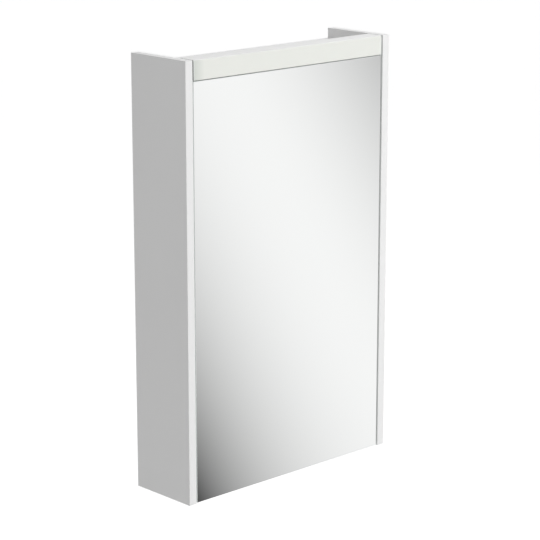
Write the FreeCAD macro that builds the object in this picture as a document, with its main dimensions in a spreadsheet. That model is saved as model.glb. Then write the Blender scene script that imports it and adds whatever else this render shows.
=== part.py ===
import FreeCAD, Part
import os
import re
import Sketcher

doc = FreeCAD.newDocument("lighted_mirror_cabinet")
sizes = doc.addObject("Spreadsheet::Sheet", "sizes")

# Driving sizes in millimetres
SIZES = [
    ("cabinet_width", "450", "across the outer faces of the side panels"),
    ("cabinet_height", "720", "height of the side panels"),
    ("cabinet_depth", "130", "front edge of the side panels to the wall"),
    ("board", "15", "thickness of sides, top, bottom, rail and door board"),
    ("edge_break", "0.5", "bevel on the front edges of the side panels"),
    ("screw_height", "75", "wall screws below the tops of the sides"),
    ("screw_spacing", "320", "between the two wall screws"),
    ("screw_hole_radius", "3", "holes for the wall screws"),
    ("rail_rise", "58", "top of the hanging rail above the wall screws"),
    ("rail_height", "80", "height of the hanging rail"),
    ("back_thickness", "3", "back panel"),
    ("back_foot_gap", "2", "back panel above the underside of the sides"),
    ("groove_depth", "6", "groove in each side panel for the back panel"),
    ("groove_play", "0.1", "air on each side of the back panel in its groove"),
    ("light_height", "32", "height of the light"),
    ("light_depth", "30", "front to rear of the light"),
    ("light_gap", "1.4", "joint between the light and the door"),
    ("diffuser_wall", "2", "wall of the opal diffuser"),
    ("diffuser_radius", "2.5", "rounded upper front edge of the light"),
    ("diffuser_lip", "8", "inward lip under the front of the diffuser"),
    ("rib_height", "3", "rib inside the top of the diffuser"),
    ("rib_thickness", "1.6", "rib inside the top of the diffuser"),
    ("clip_play", "0.2", "air where the diffuser clips into the housing"),
    ("clip_front", "3", "housing tongue over the lip of the diffuser"),
    ("clip_rear", "4", "housing tongue behind the lip of the diffuser"),
    ("clip_thickness", "1.3", "housing tongue"),
    ("light_screw_inset", "60", "outer light screws from the side panels"),
    ("housing_wall", "2", "wall of the light housing"),
    ("housing_flange", "12", "screw flange behind the light housing"),
    ("cap_thickness", "1.5", "end caps of the light"),
    ("led_board_height", "12", "circuit board of the light"),
    ("led_board_thickness", "1.6", "circuit board of the light"),
    ("led_height", "14.3", "line of light chips above the foot of the light"),
    ("led_end_gap", "6", "circuit board from the end caps"),
    ("chip_width", "3.5", "light chips"),
    ("chip_height", "2.8", "light chips"),
    ("chip_thickness", "0.8", "light chips"),
    ("led_count_pitch", "17", "between neighbouring light chips"),
    ("door_setback", "0.5", "mirror behind the front edges of the sides"),
    ("door_foot_gap", "1", "door above the underside of the sides"),
    ("free_gap", "1.4", "joint at the free edge of the door and the light"),
    ("hinge_gap", "3", "joint at the hinge edge of the door and the light"),
    ("mirror_thickness", "3", "mirror glass"),
    ("mirror_bevel", "0.6", "ground bevel round the mirror"),
    ("hinge_inset", "100", "hinge centres from the ends of the door"),
    ("pin_depth", "8", "hinge pin behind the mirror face"),
    ("pin_margin", "1.83", "extra distance of the hinge pin from the side panel"),
    ("pin_radius", "1.2", "hinge pin"),
    ("pin_play", "0.05", "running clearance of the hinge pin"),
    ("pin_seat_play", "0.02", "air round the hinge pin in the cup"),
    ("half_pin", "12", "half the length of the hinge pin"),
    ("ear_reach", "3.2", "bearing ears of the hinge cup round the pin"),
    ("eye_radius", "2.3", "rolled eye of the hinge arm"),
    ("arm_width", "12", "height of the hinge arm"),
    ("arm_play", "1", "air between the hinge arm and the bearing ears"),
    ("arm_thickness", "2", "strip of the hinge arm"),
    ("arm_reach", "15", "inside of the swan neck from the hinge pin"),
    ("swing_clearance", "0.6", "boards behind the swing of the door edge"),
    ("neck_clearance", "1.6", "swan neck outside the swing of the door edge"),
    ("foot_bend", "4", "inner radius of the lower bend of the swan neck"),
    ("neck_bend", "6", "inner radius of the upper bend of the swan neck"),
    ("arm_length", "64", "end of the hinge arm behind the hinge pin"),
    ("cup_radius", "17.5", "hinge cup"),
    ("cup_wall", "0.6", "sheet of the hinge cup"),
    ("cup_offset", "10.5", "cup centre from the hinge pin"),
    ("cup_floor", "2.6", "inside floor of the cup in front of the hinge pin"),
    ("cup_flange", "1", "thickness of the cup flange"),
    ("cup_rim", "1.2", "rim of the cup on the door"),
    ("cup_flange_half", "8", "half width of the cup flange"),
    ("cup_flange_end", "6", "cup flange past its screws"),
    ("cup_screw_reach", "24", "cup screws above and below the cup centre"),
    ("plate_thickness", "4", "hinge plate under the arm"),
    ("wing_thickness", "2.5", "screw wings of the hinge plate"),
    ("plate_offset", "43.5", "screw line of the hinge plate behind the hinge pin"),
    ("plate_front", "22", "hinge plate in front of its screw line"),
    ("plate_rear", "18", "hinge plate behind its screw line"),
    ("wing_half", "7", "half width of the wings of the hinge plate"),
    ("clamp_front", "16", "adjusting screw in front of the plate screws"),
    ("clamp_rear", "13", "clamp screw behind the plate screws"),
    ("clamp_head_radius", "2.8", "heads of the screws on the hinge arm"),
    ("arm_flange", "3", "side flanges of the hinge arm"),
    ("arm_flange_wall", "1.5", "wall of the side flanges of the hinge arm"),
    ("plate_screw_reach", "16", "plate screws above and below the plate centre"),
    ("shelf_thickness", "5", "glass shelves"),
    ("shelf_bevel", "0.4", "ground bevel round the shelves"),
    ("shelf_setback", "30", "front edge of the shelves behind the front"),
    ("shelf_play", "1.5", "air at the ends and rear of the shelves"),
    ("lower_shelf_height", "230", "pins of the lower shelf above the underside"),
    ("upper_shelf_height", "445", "pins of the upper shelf above the underside"),
    ("pin_pitch", "32", "between neighbouring shelf pin holes"),
    ("pin_inset", "15", "shelf pins from the front and rear of the shelves"),
    ("pin_tongue", "9", "shelf pins out of the side panels"),
    ("tongue_height", "1", "resting face of the shelf pins above their axis"),
    ("tongue_drop", "1.5", "underside of the shelf pin tongues below their axis"),
    ("tongue_side", "1", "shelf pin tongues past each side of the shank"),
    ("pin_collar", "1.8", "collar of the shelf pins round the shank"),
    ("shelf_pin_radius", "2.45", "shank of the shelf pins"),
    ("pin_hole_radius", "2.5", "shelf pin holes"),
    ("pin_hole_depth", "9", "shelf pin holes"),
    ("cam_radius", "7.4", "cam locks"),
    ("cam_depth", "12", "cam locks"),
    ("cam_spare", "0.2", "air behind the cam locks in their seats"),
    ("cam_reach", "24", "cam centre from the end of its board"),
    ("cam_slot", "4", "half length of the driving slots of the cam locks"),
    ("cam_slot_width", "1.4", "driving slots of the cam locks"),
    ("cam_slot_depth", "2", "driving slots of the cam locks"),
    ("bolt_radius", "3", "cam bolts"),
    ("bolt_thread_radius", "2.5", "threaded end of the cam bolts"),
    ("bolt_stop", "2", "inner ends of the cam bolts from the cam centres"),
    ("dowel_radius", "4", "dowels"),
    ("dowel_length", "29", "dowels"),
    ("fitting_depth", "11", "fitting holes in the side panels"),
    ("end_play", "0.5", "air behind bolts, dowels and shelf pins in the side panels"),
    ("fitting_inset", "16", "cam bolts from the front and rear of their board"),
    ("fit_play", "0.1", "air round fittings and screws in their holes"),
    ("screw_radius", "1.5", "shank of the small screws"),
    ("screw_head_radius", "3", "heads of the small screws"),
    ("screw_head_height", "1.5", "heads of the small screws"),
    ("hole_spare", "1", "depth of screw and dowel holes past their end"),
    ("screw_clearance", "0.3", "air round screws in the pieces they hold"),
    ("screw_bite", "9", "length of the small screws in the board"),
    ("bumper_radius", "4", "door bumpers"),
    ("bumper_inset", "14", "door bumpers from the left side panel"),
    ("bumper_play", "0.3", "air between the door and its bumpers"),
    ("catch_width", "26", "catch housing"),
    ("catch_length", "24", "catch housing, front to rear"),
    ("catch_height", "12", "catch housing"),
    ("catch_inset", "34", "catch centre from the left side panel"),
    ("magnet_half", "8", "half width of the magnet and strike plate"),
    ("magnet_depth", "8", "magnet inside its housing"),
    ("magnet_height", "7", "magnet"),
    ("magnet_proud", "1", "magnet in front of its housing"),
    ("strike_half_height", "13", "half height of the strike plate"),
    ("strike_screw_reach", "9.5", "strike screws above and below the magnet"),
    ("strike_head_radius", "2.6", "heads of the strike screws"),
    ("moulded_radius", "2", "rounded corners of the moulded housings"),
    ("moulded_rim", "0.8", "rounded rims of the moulded housings"),
    ("tab_reach", "10", "screw tabs out of their housings"),
    ("tab_half", "6", "half width of the screw tabs"),
    ("tab_thickness", "3", "screw tabs"),
    ("strike_thickness", "1.2", "strike plate"),
    ("driver_length", "140", "driver case"),
    ("driver_width", "34", "driver case, front to rear"),
    ("driver_height", "20", "driver case"),
    ("driver_left", "110", "left end of the driver case from the left side panel"),
    ("driver_rear_gap", "10", "driver case in front of the rail"),
    ("driver_tab", "8", "screw tabs out of the driver case"),
    ("driver_tab_inset", "24", "screw tabs from the ends of the driver case"),
    ("inlet_step", "1", "inlet cover inside the outline of the driver case"),
    ("inlet_length", "34", "inlet cover at the right end of the driver"),
    ("inlet_radius", "4", "cable hole of the inlet cover"),
    ("inlet_depth", "12", "cable hole of the inlet cover"),
    ("lead_radius", "2", "sheathed leads inside the cabinet"),
    ("lead_inset", "10.2", "leads from the front and rear of the driver case"),
    ("lead_rise", "12", "leads above the top panel"),
    ("led_lead_bend", "8", "bend of the lead to the light"),
    ("switch_lead_bend", "6", "bend of the lead to the switch"),
    ("lead_start", "9", "straight start of the leads at the driver"),
    ("lead_seat", "4", "leads inside the driver and the switch"),
    ("grommet_wall", "1.15", "thin grommet round the lead to the light"),
    ("grommet_sleeve", "2.95", "thick grommet round the lead to the switch"),
    ("grommet_lip", "1.5", "width and thickness of the grommet lips"),
    ("grommet_play", "0.05", "air round the leads in their grommets"),
    ("switch_width", "44", "switch housing"),
    ("switch_height", "24", "switch housing"),
    ("switch_setback", "30", "face of the switch housing behind the front"),
    ("switch_rear", "8", "switch housing behind its lead"),
    ("window_depth", "11", "opening of the switch housing round the rocker"),
    ("rocker_play", "0.3", "air at the ends of the rocker"),
    ("rocker_swing", "1.1", "air above and below the rocker"),
    ("stub_length", "2", "pivot stubs of the rocker"),
    ("rocker_back", "2.4", "rocker behind its pivot"),
    ("rocker_taper", "0.8", "rocker narrower at its pivot"),
    ("rocker_width", "21.4", "switch rocker"),
    ("rocker_half_height", "5.9", "switch rocker"),
    ("rocker_rise", "6.3", "ends of the rocker in front of its pivot"),
    ("rocker_dip", "4.9", "middle of the rocker in front of its pivot"),
    ("rocker_tilt", "8", "tilt of the rocker at rest in degrees"),
    ("rocker_pivot_radius", "1.5", "pivot stubs of the rocker"),
    ("rocker_pivot_depth", "4", "pivot behind the face of the switch housing"),
]
ALIASES = {alias for alias, number, note in SIZES}
for row, (alias, number, note) in enumerate(SIZES, 1):
    sizes.set(f"A{row}", note)
    sizes.set(f"B{row}", number)
    sizes.setAlias(f"B{row}", alias)
doc.recompute()

# Places shared by several pieces: the origin lies on the wall between the two wall screws
HALF = "(cabinet_width / 2)"
INNER = "(cabinet_width / 2 - board)"
FRONT = "(-cabinet_depth)"
BASE = "(screw_height - cabinet_height)"
CROWN = "screw_height"
LIGHT_BASE = f"({CROWN} - light_height)"
CEILING = f"({LIGHT_BASE} - board)"
BACK_FACE = "(-board - back_thickness)"

DOOR_LEFT = f"(free_gap - {INNER})"
DOOR_RIGHT = f"({INNER} - hinge_gap)"
DOOR_BOTTOM = f"({BASE} + door_foot_gap)"
DOOR_TOP = f"({LIGHT_BASE} - light_gap)"
MIRROR_FACE = f"({FRONT} + door_setback)"
MIRROR_BACK = f"({MIRROR_FACE} + mirror_thickness)"
DOOR_BACK = f"({MIRROR_BACK} + board)"

# The hinge pin stands far enough from the side panel for the front corner of the door to pass
PIN_REACH = "((pin_depth * pin_depth + hinge_gap * hinge_gap) / (2 * hinge_gap) + pin_margin)"
PIN_X = f"({INNER} - {PIN_REACH})"
PIN_Y = f"({MIRROR_FACE} + pin_depth)"
SWING = (f"sqrt(({PIN_REACH} - hinge_gap) * ({PIN_REACH} - hinge_gap)"
         " + (mirror_thickness + board - pin_depth) * (mirror_thickness + board - pin_depth))")
NECK_TOP = f"({PIN_Y} + {SWING} + neck_clearance)"
PANEL_FRONT = f"({PIN_Y} + {SWING} + swing_clearance)"
CUP_X = f"({PIN_X} - cup_offset)"
CUP_FACE = f"({DOOR_BACK} + cup_flange)"
STRIKE_FACE = f"({DOOR_BACK} + strike_thickness)"
HINGE_HEIGHTS = {"lower": f"({DOOR_BOTTOM} + hinge_inset)", "upper": f"({DOOR_TOP} - hinge_inset)"}

# The light ends in line with the edges of the door
LIGHT_LEFT = f"({DOOR_LEFT} + cap_thickness)"
LIGHT_RIGHT = f"({DOOR_RIGHT} - cap_thickness)"
LIGHT_LENGTH = f"({LIGHT_RIGHT} - {LIGHT_LEFT})"
LIGHT_MIDDLE = f"(({LIGHT_LEFT} + {LIGHT_RIGHT}) / 2)"
LIGHT_REAR = f"({FRONT} + light_depth)"

DRIVER_LEFT = f"(driver_left - {INNER})"
DRIVER_RIGHT = f"({DRIVER_LEFT} + driver_length)"
DRIVER_REAR = "(-board - driver_rear_gap)"
DRIVER_FRONT = f"({DRIVER_REAR} - driver_width)"
LEAD_LEVEL = f"({LIGHT_BASE} + lead_rise)"
LED_LEAD_Y = f"({DRIVER_FRONT} + lead_inset)"
LED_LEAD_X = f"({DRIVER_LEFT} - lead_start - led_lead_bend)"
SWITCH_LEAD_Y = f"({DRIVER_REAR} - lead_inset)"
SWITCH_X = f"({DRIVER_LEFT} - lead_start - switch_lead_bend)"
SWITCH_FACE = f"({FRONT} + switch_setback)"
SWITCH_LEVEL = f"({CEILING} - switch_height / 2)"
ROCKER_Y = f"({SWITCH_FACE} + rocker_pivot_depth)"

TURN_TO = {
    "x": FreeCAD.Rotation(FreeCAD.Vector(0, 1, 0), 90),
    "y": FreeCAD.Rotation(FreeCAD.Vector(1, 0, 0), -90),
    "z": FreeCAD.Rotation(),
}
pieces = []


def cell(text):
    """Expression text with every size name pointing at its cell"""
    return re.sub("[a-z_]+", lambda word: "sizes." + word[0] if word[0] in ALIASES else word[0], str(text))


def value(text):
    return float(sizes.evalExpression(cell(text)))


def about(middle, half):
    """Span reaching equally far to both sides of a place"""
    return f"{middle} - {half}", f"{middle} + {half}"


def piece(label, solid):
    solid.Label = label
    pieces.append(solid)
    return solid


def place(solid, x, y, z):
    for axis, text in zip("xyz", (x, y, z)):
        solid.setExpression("Placement.Base." + axis, cell(text))


def block(xs, ys, zs):
    solid = doc.addObject("Part::Box", "block")
    for side, (low, high) in zip(("Length", "Width", "Height"), (xs, ys, zs)):
        solid.setExpression(side, cell(f"({high}) - ({low})"))
    place(solid, xs[0], ys[0], zs[0])
    return solid


def rod(axis, first, second, span, radius):
    """Round bar along one axis; first and second are its other two coordinates in x, y, z order"""
    solid = doc.addObject("Part::Cylinder", "rod")
    solid.Placement = FreeCAD.Placement(FreeCAD.Vector(), TURN_TO[axis])
    solid.setExpression("Radius", cell(radius))
    solid.setExpression("Height", cell(f"({span[1]}) - ({span[0]})"))
    where = [first, second]
    where.insert("xyz".index(axis), span[0])
    place(solid, *where)
    return solid


def fuse(*solids):
    whole = doc.addObject("Part::MultiFuse", "joined")
    whole.Shapes = list(solids)
    whole.Refine = True
    return whole


def cut(base, *tools):
    rest = doc.addObject("Part::Cut", "cut")
    rest.Base = base
    rest.Tool = tools[0] if len(tools) == 1 else fuse(*tools)
    return rest


def group(*solids):
    together = doc.addObject("Part::Compound", "group")
    together.Links = list(solids)
    return together


def bend(x, y, span, inner, outer, start):
    """Quarter ring of strip about a vertical line"""
    quarter = rod("z", x, y, span, outer)
    quarter.Angle = 90
    quarter.Placement.Rotation = FreeCAD.Rotation(FreeCAD.Vector(0, 0, 1), start)
    return cut(quarter, rod("z", x, y, span, inner))


def lead_bend(x, y, z, radius, from_axis, to_axis):
    """Quarter turn of a round lead from one direction to another"""
    solid = doc.addObject("Part::Torus", "lead_bend")
    turn = FreeCAD.Rotation(from_axis, to_axis, from_axis.cross(to_axis), "XYZ")
    solid.Placement = FreeCAD.Placement(FreeCAD.Vector(), turn)
    solid.Angle3 = 90
    solid.setExpression("Radius1", cell(radius))
    solid.setExpression("Radius2", cell("lead_radius"))
    place(solid, x, y, z)
    return solid


def screw(axis, first, second, seat, way, bite="screw_bite", head="screw_head_radius"):
    """Pan-head screw that bites along an axis, way +1 or -1, from the face its head sits on"""
    if way > 0:
        cap = rod(axis, first, second, (f"{seat} - screw_head_height", seat), head)
        shank = rod(axis, first, second, (seat, f"{seat} + {bite}"), "screw_radius")
    else:
        cap = rod(axis, first, second, (seat, f"{seat} + screw_head_height"), head)
        shank = rod(axis, first, second, (f"{seat} - ({bite})", seat), "screw_radius")
    return fuse(cap, shank)


def new_body(label):
    return piece(label, doc.addObject("PartDesign::Body", label))


def datum(body, role):
    return next(item for item in body.Origin.OriginFeatures if item.Role == role)


def new_sketch(body, role, level):
    sketch = body.newObject("Sketcher::SketchObject", "sketch")
    sketch.AttachmentSupport = [(datum(body, role), "")]
    sketch.MapMode = "FlatFace"
    sketch.setExpression("AttachmentOffset.Base.z", cell(level))
    return sketch


def fix_point(sketch, geometry, point, across, up):
    for kind, text in (("DistanceX", across), ("DistanceY", up)):
        index = sketch.addConstraint(Sketcher.Constraint(kind, -1, 1, geometry, point, value(text)))
        sketch.setExpression(f"Constraints[{index}]", cell(text))


def outline(body, role, level, corners):
    """Closed polygon whose corners are given as across and up sizes"""
    sketch = new_sketch(body, role, level)
    spots = [FreeCAD.Vector(value(across), value(up), 0) for across, up in corners]
    for index, spot in enumerate(spots):
        sketch.addGeometry(Part.LineSegment(spot, spots[(index + 1) % len(spots)]))
    for index in range(len(spots)):
        sketch.addConstraint(Sketcher.Constraint("Coincident", index, 2, (index + 1) % len(spots), 1))
    for index, (across, up) in enumerate(corners):
        fix_point(sketch, index, 1, across, up)
    return sketch


def oblong(body, role, level, across, up):
    corners = [(across[0], up[0]), (across[1], up[0]), (across[1], up[1]), (across[0], up[1])]
    return outline(body, role, level, corners)


def circles(body, role, level, spots):
    """Round outlines given as across, up and radius"""
    sketch = new_sketch(body, role, level)
    for index, (across, up, radius) in enumerate(spots):
        centre = FreeCAD.Vector(value(across), value(up), 0)
        sketch.addGeometry(Part.Circle(centre, FreeCAD.Vector(0, 0, 1), value(radius)))
        fix_point(sketch, index, 3, across, up)
        size = sketch.addConstraint(Sketcher.Constraint("Radius", index, value(radius)))
        sketch.setExpression(f"Constraints[{size}]", cell(radius))
    return sketch


def pad(body, sketch, length):
    feature = body.newObject("PartDesign::Pad", "pad")
    feature.Profile = sketch
    feature.setExpression("Length", cell(length))
    doc.recompute()
    return feature


def pocket(body, sketch, depth, reverse=False):
    before = body.Shape.Volume
    feature = body.newObject("PartDesign::Pocket", "pocket")
    feature.Profile = sketch
    feature.setExpression("Length", cell(depth))
    feature.Reversed = reverse
    doc.recompute()
    if not body.Shape.Volume < before - 1e-6:
        raise RuntimeError(body.Label + ": a pocket removes nothing")
    return feature


def edges_where(feature, test):
    return [f"Edge{index}" for index, edge in enumerate(feature.Shape.Edges, 1) if test(edge)]


def dress(body, kind, edges, size_name, size):
    """Fillet or chamfer on the named edges of the body's last feature"""
    base = body.Tip
    feature = body.newObject("PartDesign::" + kind, kind.lower())
    feature.Base = (base, edges)
    feature.setExpression(size_name, cell(size))
    doc.recompute()
    return feature


def runs_along(edge, axis):
    return abs(abs(edge.tangentAt(edge.FirstParameter).dot(axis)) - 1) < 1e-6


def near(number, text):
    return abs(number - value(text)) < 1e-4


X_AXIS = FreeCAD.Vector(1, 0, 0)
Y_AXIS = FreeCAD.Vector(0, 1, 0)
Z_AXIS = FreeCAD.Vector(0, 0, 1)


def moulded_housing(label, xs, ys, zs, rim, seam=None):
    """Box with rounded corners and one rounded rim; its end at a seam stays square"""
    body = new_body(label)
    pad(body, oblong(body, "XY_Plane", zs[0], xs, ys), f"({zs[1]}) - ({zs[0]})")

    def free(edge):
        return seam is None or not near(edge.CenterOfMass.x, seam)

    corners = edges_where(body.Tip, lambda edge: runs_along(edge, Z_AXIS) and free(edge))
    dress(body, "Fillet", corners, "Radius", "moulded_radius")
    rims = edges_where(body.Tip, lambda edge: near(edge.CenterOfMass.z, rim) and free(edge))
    dress(body, "Fillet", rims, "Radius", "moulded_rim")
    return body


def screw_tab(body, xs, ys, base, ends):
    """Screw tab out of a housing, its outer corners rounded; ends are the places of those corners"""
    tab = pad(body, oblong(body, "XY_Plane", base, xs, ys), "tab_thickness")
    corners = edges_where(tab, lambda edge: runs_along(edge, Z_AXIS)
                          and any(near(edge.CenterOfMass[axis], end) for axis, end in ends))
    dress(body, "Fillet", corners, "Radius", "moulded_radius")


# Fitting positions shared by the boards and their fittings
BOARD_MIDDLES = {"top": f"({CEILING} + board / 2)", "bottom": f"({BASE} + board / 2)"}
BOLT_YS = [f"({PANEL_FRONT} + fitting_inset)", f"({BACK_FACE} - fitting_inset)"]
DOWEL_Y = f"(({PANEL_FRONT} + {BACK_FACE}) / 2)"
RAIL_DOWELS = ["(rail_rise - rail_height / 4)", "(rail_rise - rail_height * 3 / 4)"]
SHELF_ROWS = {"lower": f"({BASE} + lower_shelf_height)", "upper": f"({BASE} + upper_shelf_height)"}
SHELF_COLUMNS = [f"({FRONT} + shelf_setback + pin_inset)", f"({BACK_FACE} - shelf_play - pin_inset)"]
PLATE_Y = f"({PIN_Y} + plate_offset)"
PILOT = "screw_radius + fit_play / 2"
SCREW_HOLE = "screw_radius + screw_clearance"
DOWEL_HOLE = "dowel_radius + fit_play"
DOWEL_SEAT = "dowel_length - fitting_depth + hole_spare"

# Side panels: groove for the back, rows of shelf pin holes, fitting holes
for label, inward in (("left_side_panel", 1), ("right_side_panel", -1)):
    panel = new_body(label)
    inner_face = f"-{INNER}" if inward > 0 else INNER
    outer_face = f"-{HALF}" if inward > 0 else INNER
    pad(panel, oblong(panel, "YZ_Plane", outer_face, (FRONT, "0"), (BASE, CROWN)), "board")
    groove = oblong(panel, "YZ_Plane", inner_face,
                    (f"{BACK_FACE} - groove_play", "groove_play - board"),
                    (BASE, f"{LIGHT_BASE} + groove_play"))
    pocket(panel, groove, "groove_depth + groove_play", inward < 0)
    for row in SHELF_ROWS.values():
        holes = circles(panel, "YZ_Plane", inner_face,
                        [(column, f"{row} - pin_pitch", "pin_hole_radius") for column in SHELF_COLUMNS])
        first = pocket(panel, holes, "pin_hole_depth", inward < 0)
        repeat = panel.newObject("PartDesign::LinearPattern", "hole_row")
        repeat.Originals = [first]
        repeat.Direction = (datum(panel, "Z_Axis"), [""])
        repeat.setExpression("Length", cell("2 * pin_pitch"))
        repeat.Occurrences = 3
        panel.Tip = repeat
        doc.recompute()
    fittings = [(y, middle, "bolt_thread_radius + fit_play / 2")
                for middle in BOARD_MIDDLES.values() for y in BOLT_YS]
    fittings += [(DOWEL_Y, middle, DOWEL_HOLE) for middle in BOARD_MIDDLES.values()]
    fittings += [("-board / 2", height, DOWEL_HOLE) for height in RAIL_DOWELS]
    pocket(panel, circles(panel, "YZ_Plane", inner_face, fittings), "fitting_depth", inward < 0)
    if inward < 0:
        plate_holes = [(PLATE_Y, f"{height} + {sign} * plate_screw_reach", PILOT)
                       for height in HINGE_HEIGHTS.values() for sign in (-1, 1)]
        pocket(panel, circles(panel, "YZ_Plane", inner_face, plate_holes), "screw_bite + hole_spare", True)
    front_edges = edges_where(panel.Tip, lambda edge: runs_along(edge, Z_AXIS)
                              and near(edge.CenterOfMass.y, FRONT))
    dress(panel, "Chamfer", front_edges, "Size", "edge_break")

# Top and bottom panels with seats for cams, bolts, dowels and the screws of what they carry
CATCH_X = f"(catch_inset - {INNER})"
CATCH_FRONT = f"({DOOR_BACK} + strike_thickness + bumper_play + magnet_proud)"
CATCH_MIDDLE = f"({CATCH_FRONT} + catch_length / 2)"
CATCH_SCREWS = [f"({CATCH_X} + {sign} * (catch_width / 2 + tab_reach / 2))" for sign in (-1, 1)]
LIGHT_SCREW_XS = [f"(light_screw_inset - {INNER})", "0", f"({INNER} - light_screw_inset)"]
LIGHT_SCREW_Y = f"({LIGHT_REAR} + housing_flange / 2)"
DRIVER_SCREWS = [(f"({DRIVER_LEFT} + driver_tab_inset)", f"({DRIVER_FRONT} - driver_tab / 2)"),
                 (f"({DRIVER_RIGHT} - driver_tab_inset)", f"({DRIVER_REAR} + driver_tab / 2)")]
SWITCH_MIDDLE = f"(({SWITCH_FACE} + {SWITCH_LEAD_Y} + switch_rear) / 2)"
SWITCH_SCREWS = [f"({SWITCH_X} + {sign} * (switch_width / 2 + tab_reach / 2))" for sign in (-1, 1)]
THIN_SLEEVE = "lead_radius + grommet_wall"
THICK_SLEEVE = "lead_radius + grommet_sleeve"
LEAD_BORE = "lead_radius + grommet_play"
TAB_LEVEL = f"({CEILING} - tab_thickness)"


def carcass_board(label, middle, cam_face, holes):
    board = block((f"-{INNER}", INNER), (PANEL_FRONT, BACK_FACE), about(middle, "board / 2"))
    tools = []
    for sign in (-1, 1):
        end = f"{sign} * {INNER}"
        inward = f"{sign} * ({INNER} - cam_reach)"
        low, high = (end, inward) if sign < 0 else (inward, end)
        for y in BOLT_YS:
            if cam_face > 0:
                seat = (f"{middle} + board / 2 - cam_depth - cam_spare", f"{middle} + board / 2")
            else:
                seat = (f"{middle} - board / 2", f"{middle} - board / 2 + cam_depth + cam_spare")
            tools.append(rod("z", inward, y, seat, "cam_radius + fit_play"))
            tools.append(rod("x", y, middle, (low, high), "bolt_radius + fit_play"))
        depth = f"{sign} * ({INNER} - ({DOWEL_SEAT}))"
        low, high = (end, depth) if sign < 0 else (depth, end)
        tools.append(rod("x", DOWEL_Y, middle, (low, high), DOWEL_HOLE))
    return piece(label, cut(board, *tools, *holes))


down = (f"{LIGHT_BASE} - screw_bite - hole_spare", LIGHT_BASE)
up = (CEILING, f"{CEILING} + screw_bite + hole_spare")
top_holes = [rod("z", x, LIGHT_SCREW_Y, down, PILOT) for x in LIGHT_SCREW_XS]
top_holes += [rod("z", x, y, down, PILOT) for x, y in DRIVER_SCREWS]
top_holes += [rod("z", x, CATCH_MIDDLE, up, PILOT) for x in CATCH_SCREWS]
top_holes += [rod("z", x, SWITCH_MIDDLE, up, PILOT) for x in SWITCH_SCREWS]
top_holes.append(rod("z", SWITCH_X, SWITCH_LEAD_Y, (CEILING, LIGHT_BASE), f"{THICK_SLEEVE} + grommet_play"))
carcass_board("top_panel", BOARD_MIDDLES["top"], 1, top_holes)
carcass_board("bottom_panel", BOARD_MIDDLES["bottom"], -1, [])

# Back panel in the grooves, hanging rail behind it against the wall
wall_holes = [(f"{sign} * screw_spacing / 2", "0", "screw_hole_radius") for sign in (-1, 1)]
back = new_body("back_panel")
pad(back, oblong(back, "XZ_Plane", "board", (f"-({INNER} + groove_depth)", f"{INNER} + groove_depth"),
                 (f"{BASE} + back_foot_gap", LIGHT_BASE)), "back_thickness")
pocket(back, circles(back, "XZ_Plane", "board", wall_holes), "back_thickness", True)

rail = new_body("hanging_rail")
rail_face = oblong(rail, "XZ_Plane", "0", (f"-{INNER}", INNER), ("rail_rise - rail_height", "rail_rise"))
pad(rail, rail_face, "board")
pocket(rail, circles(rail, "XZ_Plane", "0", wall_holes), "board", True)
for sign in (-1, 1):
    ends = circles(rail, "YZ_Plane", f"{sign} * {INNER}",
                   [("-board / 2", height, DOWEL_HOLE) for height in RAIL_DOWELS])
    pocket(rail, ends, DOWEL_SEAT, sign < 0)

# Cam bolts, cam locks and dowels
bolts = []
locks = []
dowels = []
for board_name, middle in BOARD_MIDDLES.items():
    for sign in (-1, 1):
        face = f"{sign} * {INNER}"
        deep = f"{sign} * ({INNER} + fitting_depth - end_play)"
        cam_x = f"{sign} * ({INNER} - cam_reach)"
        near_cam = f"{sign} * ({INNER} - cam_reach + bolt_stop)"
        for y in BOLT_YS:
            spans = [(deep, face), (face, near_cam)] if sign < 0 else [(face, deep), (near_cam, face)]
            bolts.append(fuse(rod("x", y, middle, spans[0], "bolt_thread_radius"),
                              rod("x", y, middle, spans[1], "bolt_radius")))
            if board_name == "top":
                seat = (f"{middle} + board / 2 - cam_depth", f"{middle} + board / 2")
                slot = (f"{middle} + board / 2 - cam_slot_depth", f"{middle} + board / 2")
            else:
                seat = (f"{middle} - board / 2", f"{middle} - board / 2 + cam_depth")
                slot = (f"{middle} - board / 2", f"{middle} - board / 2 + cam_slot_depth")
            disc = rod("z", cam_x, y, seat, "cam_radius")
            mouth_end = f"{sign} * ({INNER} - cam_reach + cam_radius + fit_play)"
            mouth = (mouth_end, cam_x) if sign < 0 else (cam_x, mouth_end)
            locks.append(cut(disc, rod("x", y, middle, mouth, "bolt_radius + fit_play"),
                             block(about(cam_x, "cam_slot"), about(y, "cam_slot_width / 2"), slot),
                             block(about(cam_x, "cam_slot_width / 2"), about(y, "cam_slot"), slot)))
        inside = f"{sign} * ({INNER} - (dowel_length - fitting_depth))"
        span = (deep, inside) if sign < 0 else (inside, deep)
        dowels.append(rod("x", DOWEL_Y, middle, span, "dowel_radius"))
for sign in (-1, 1):
    deep = f"{sign} * ({INNER} + fitting_depth - end_play)"
    inside = f"{sign} * ({INNER} - (dowel_length - fitting_depth))"
    span = (deep, inside) if sign < 0 else (inside, deep)
    dowels += [rod("x", "-board / 2", height, span, "dowel_radius") for height in RAIL_DOWELS]
piece("cam_bolts", group(*bolts))
piece("cam_locks", group(*locks))
piece("dowels", group(*dowels))

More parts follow.
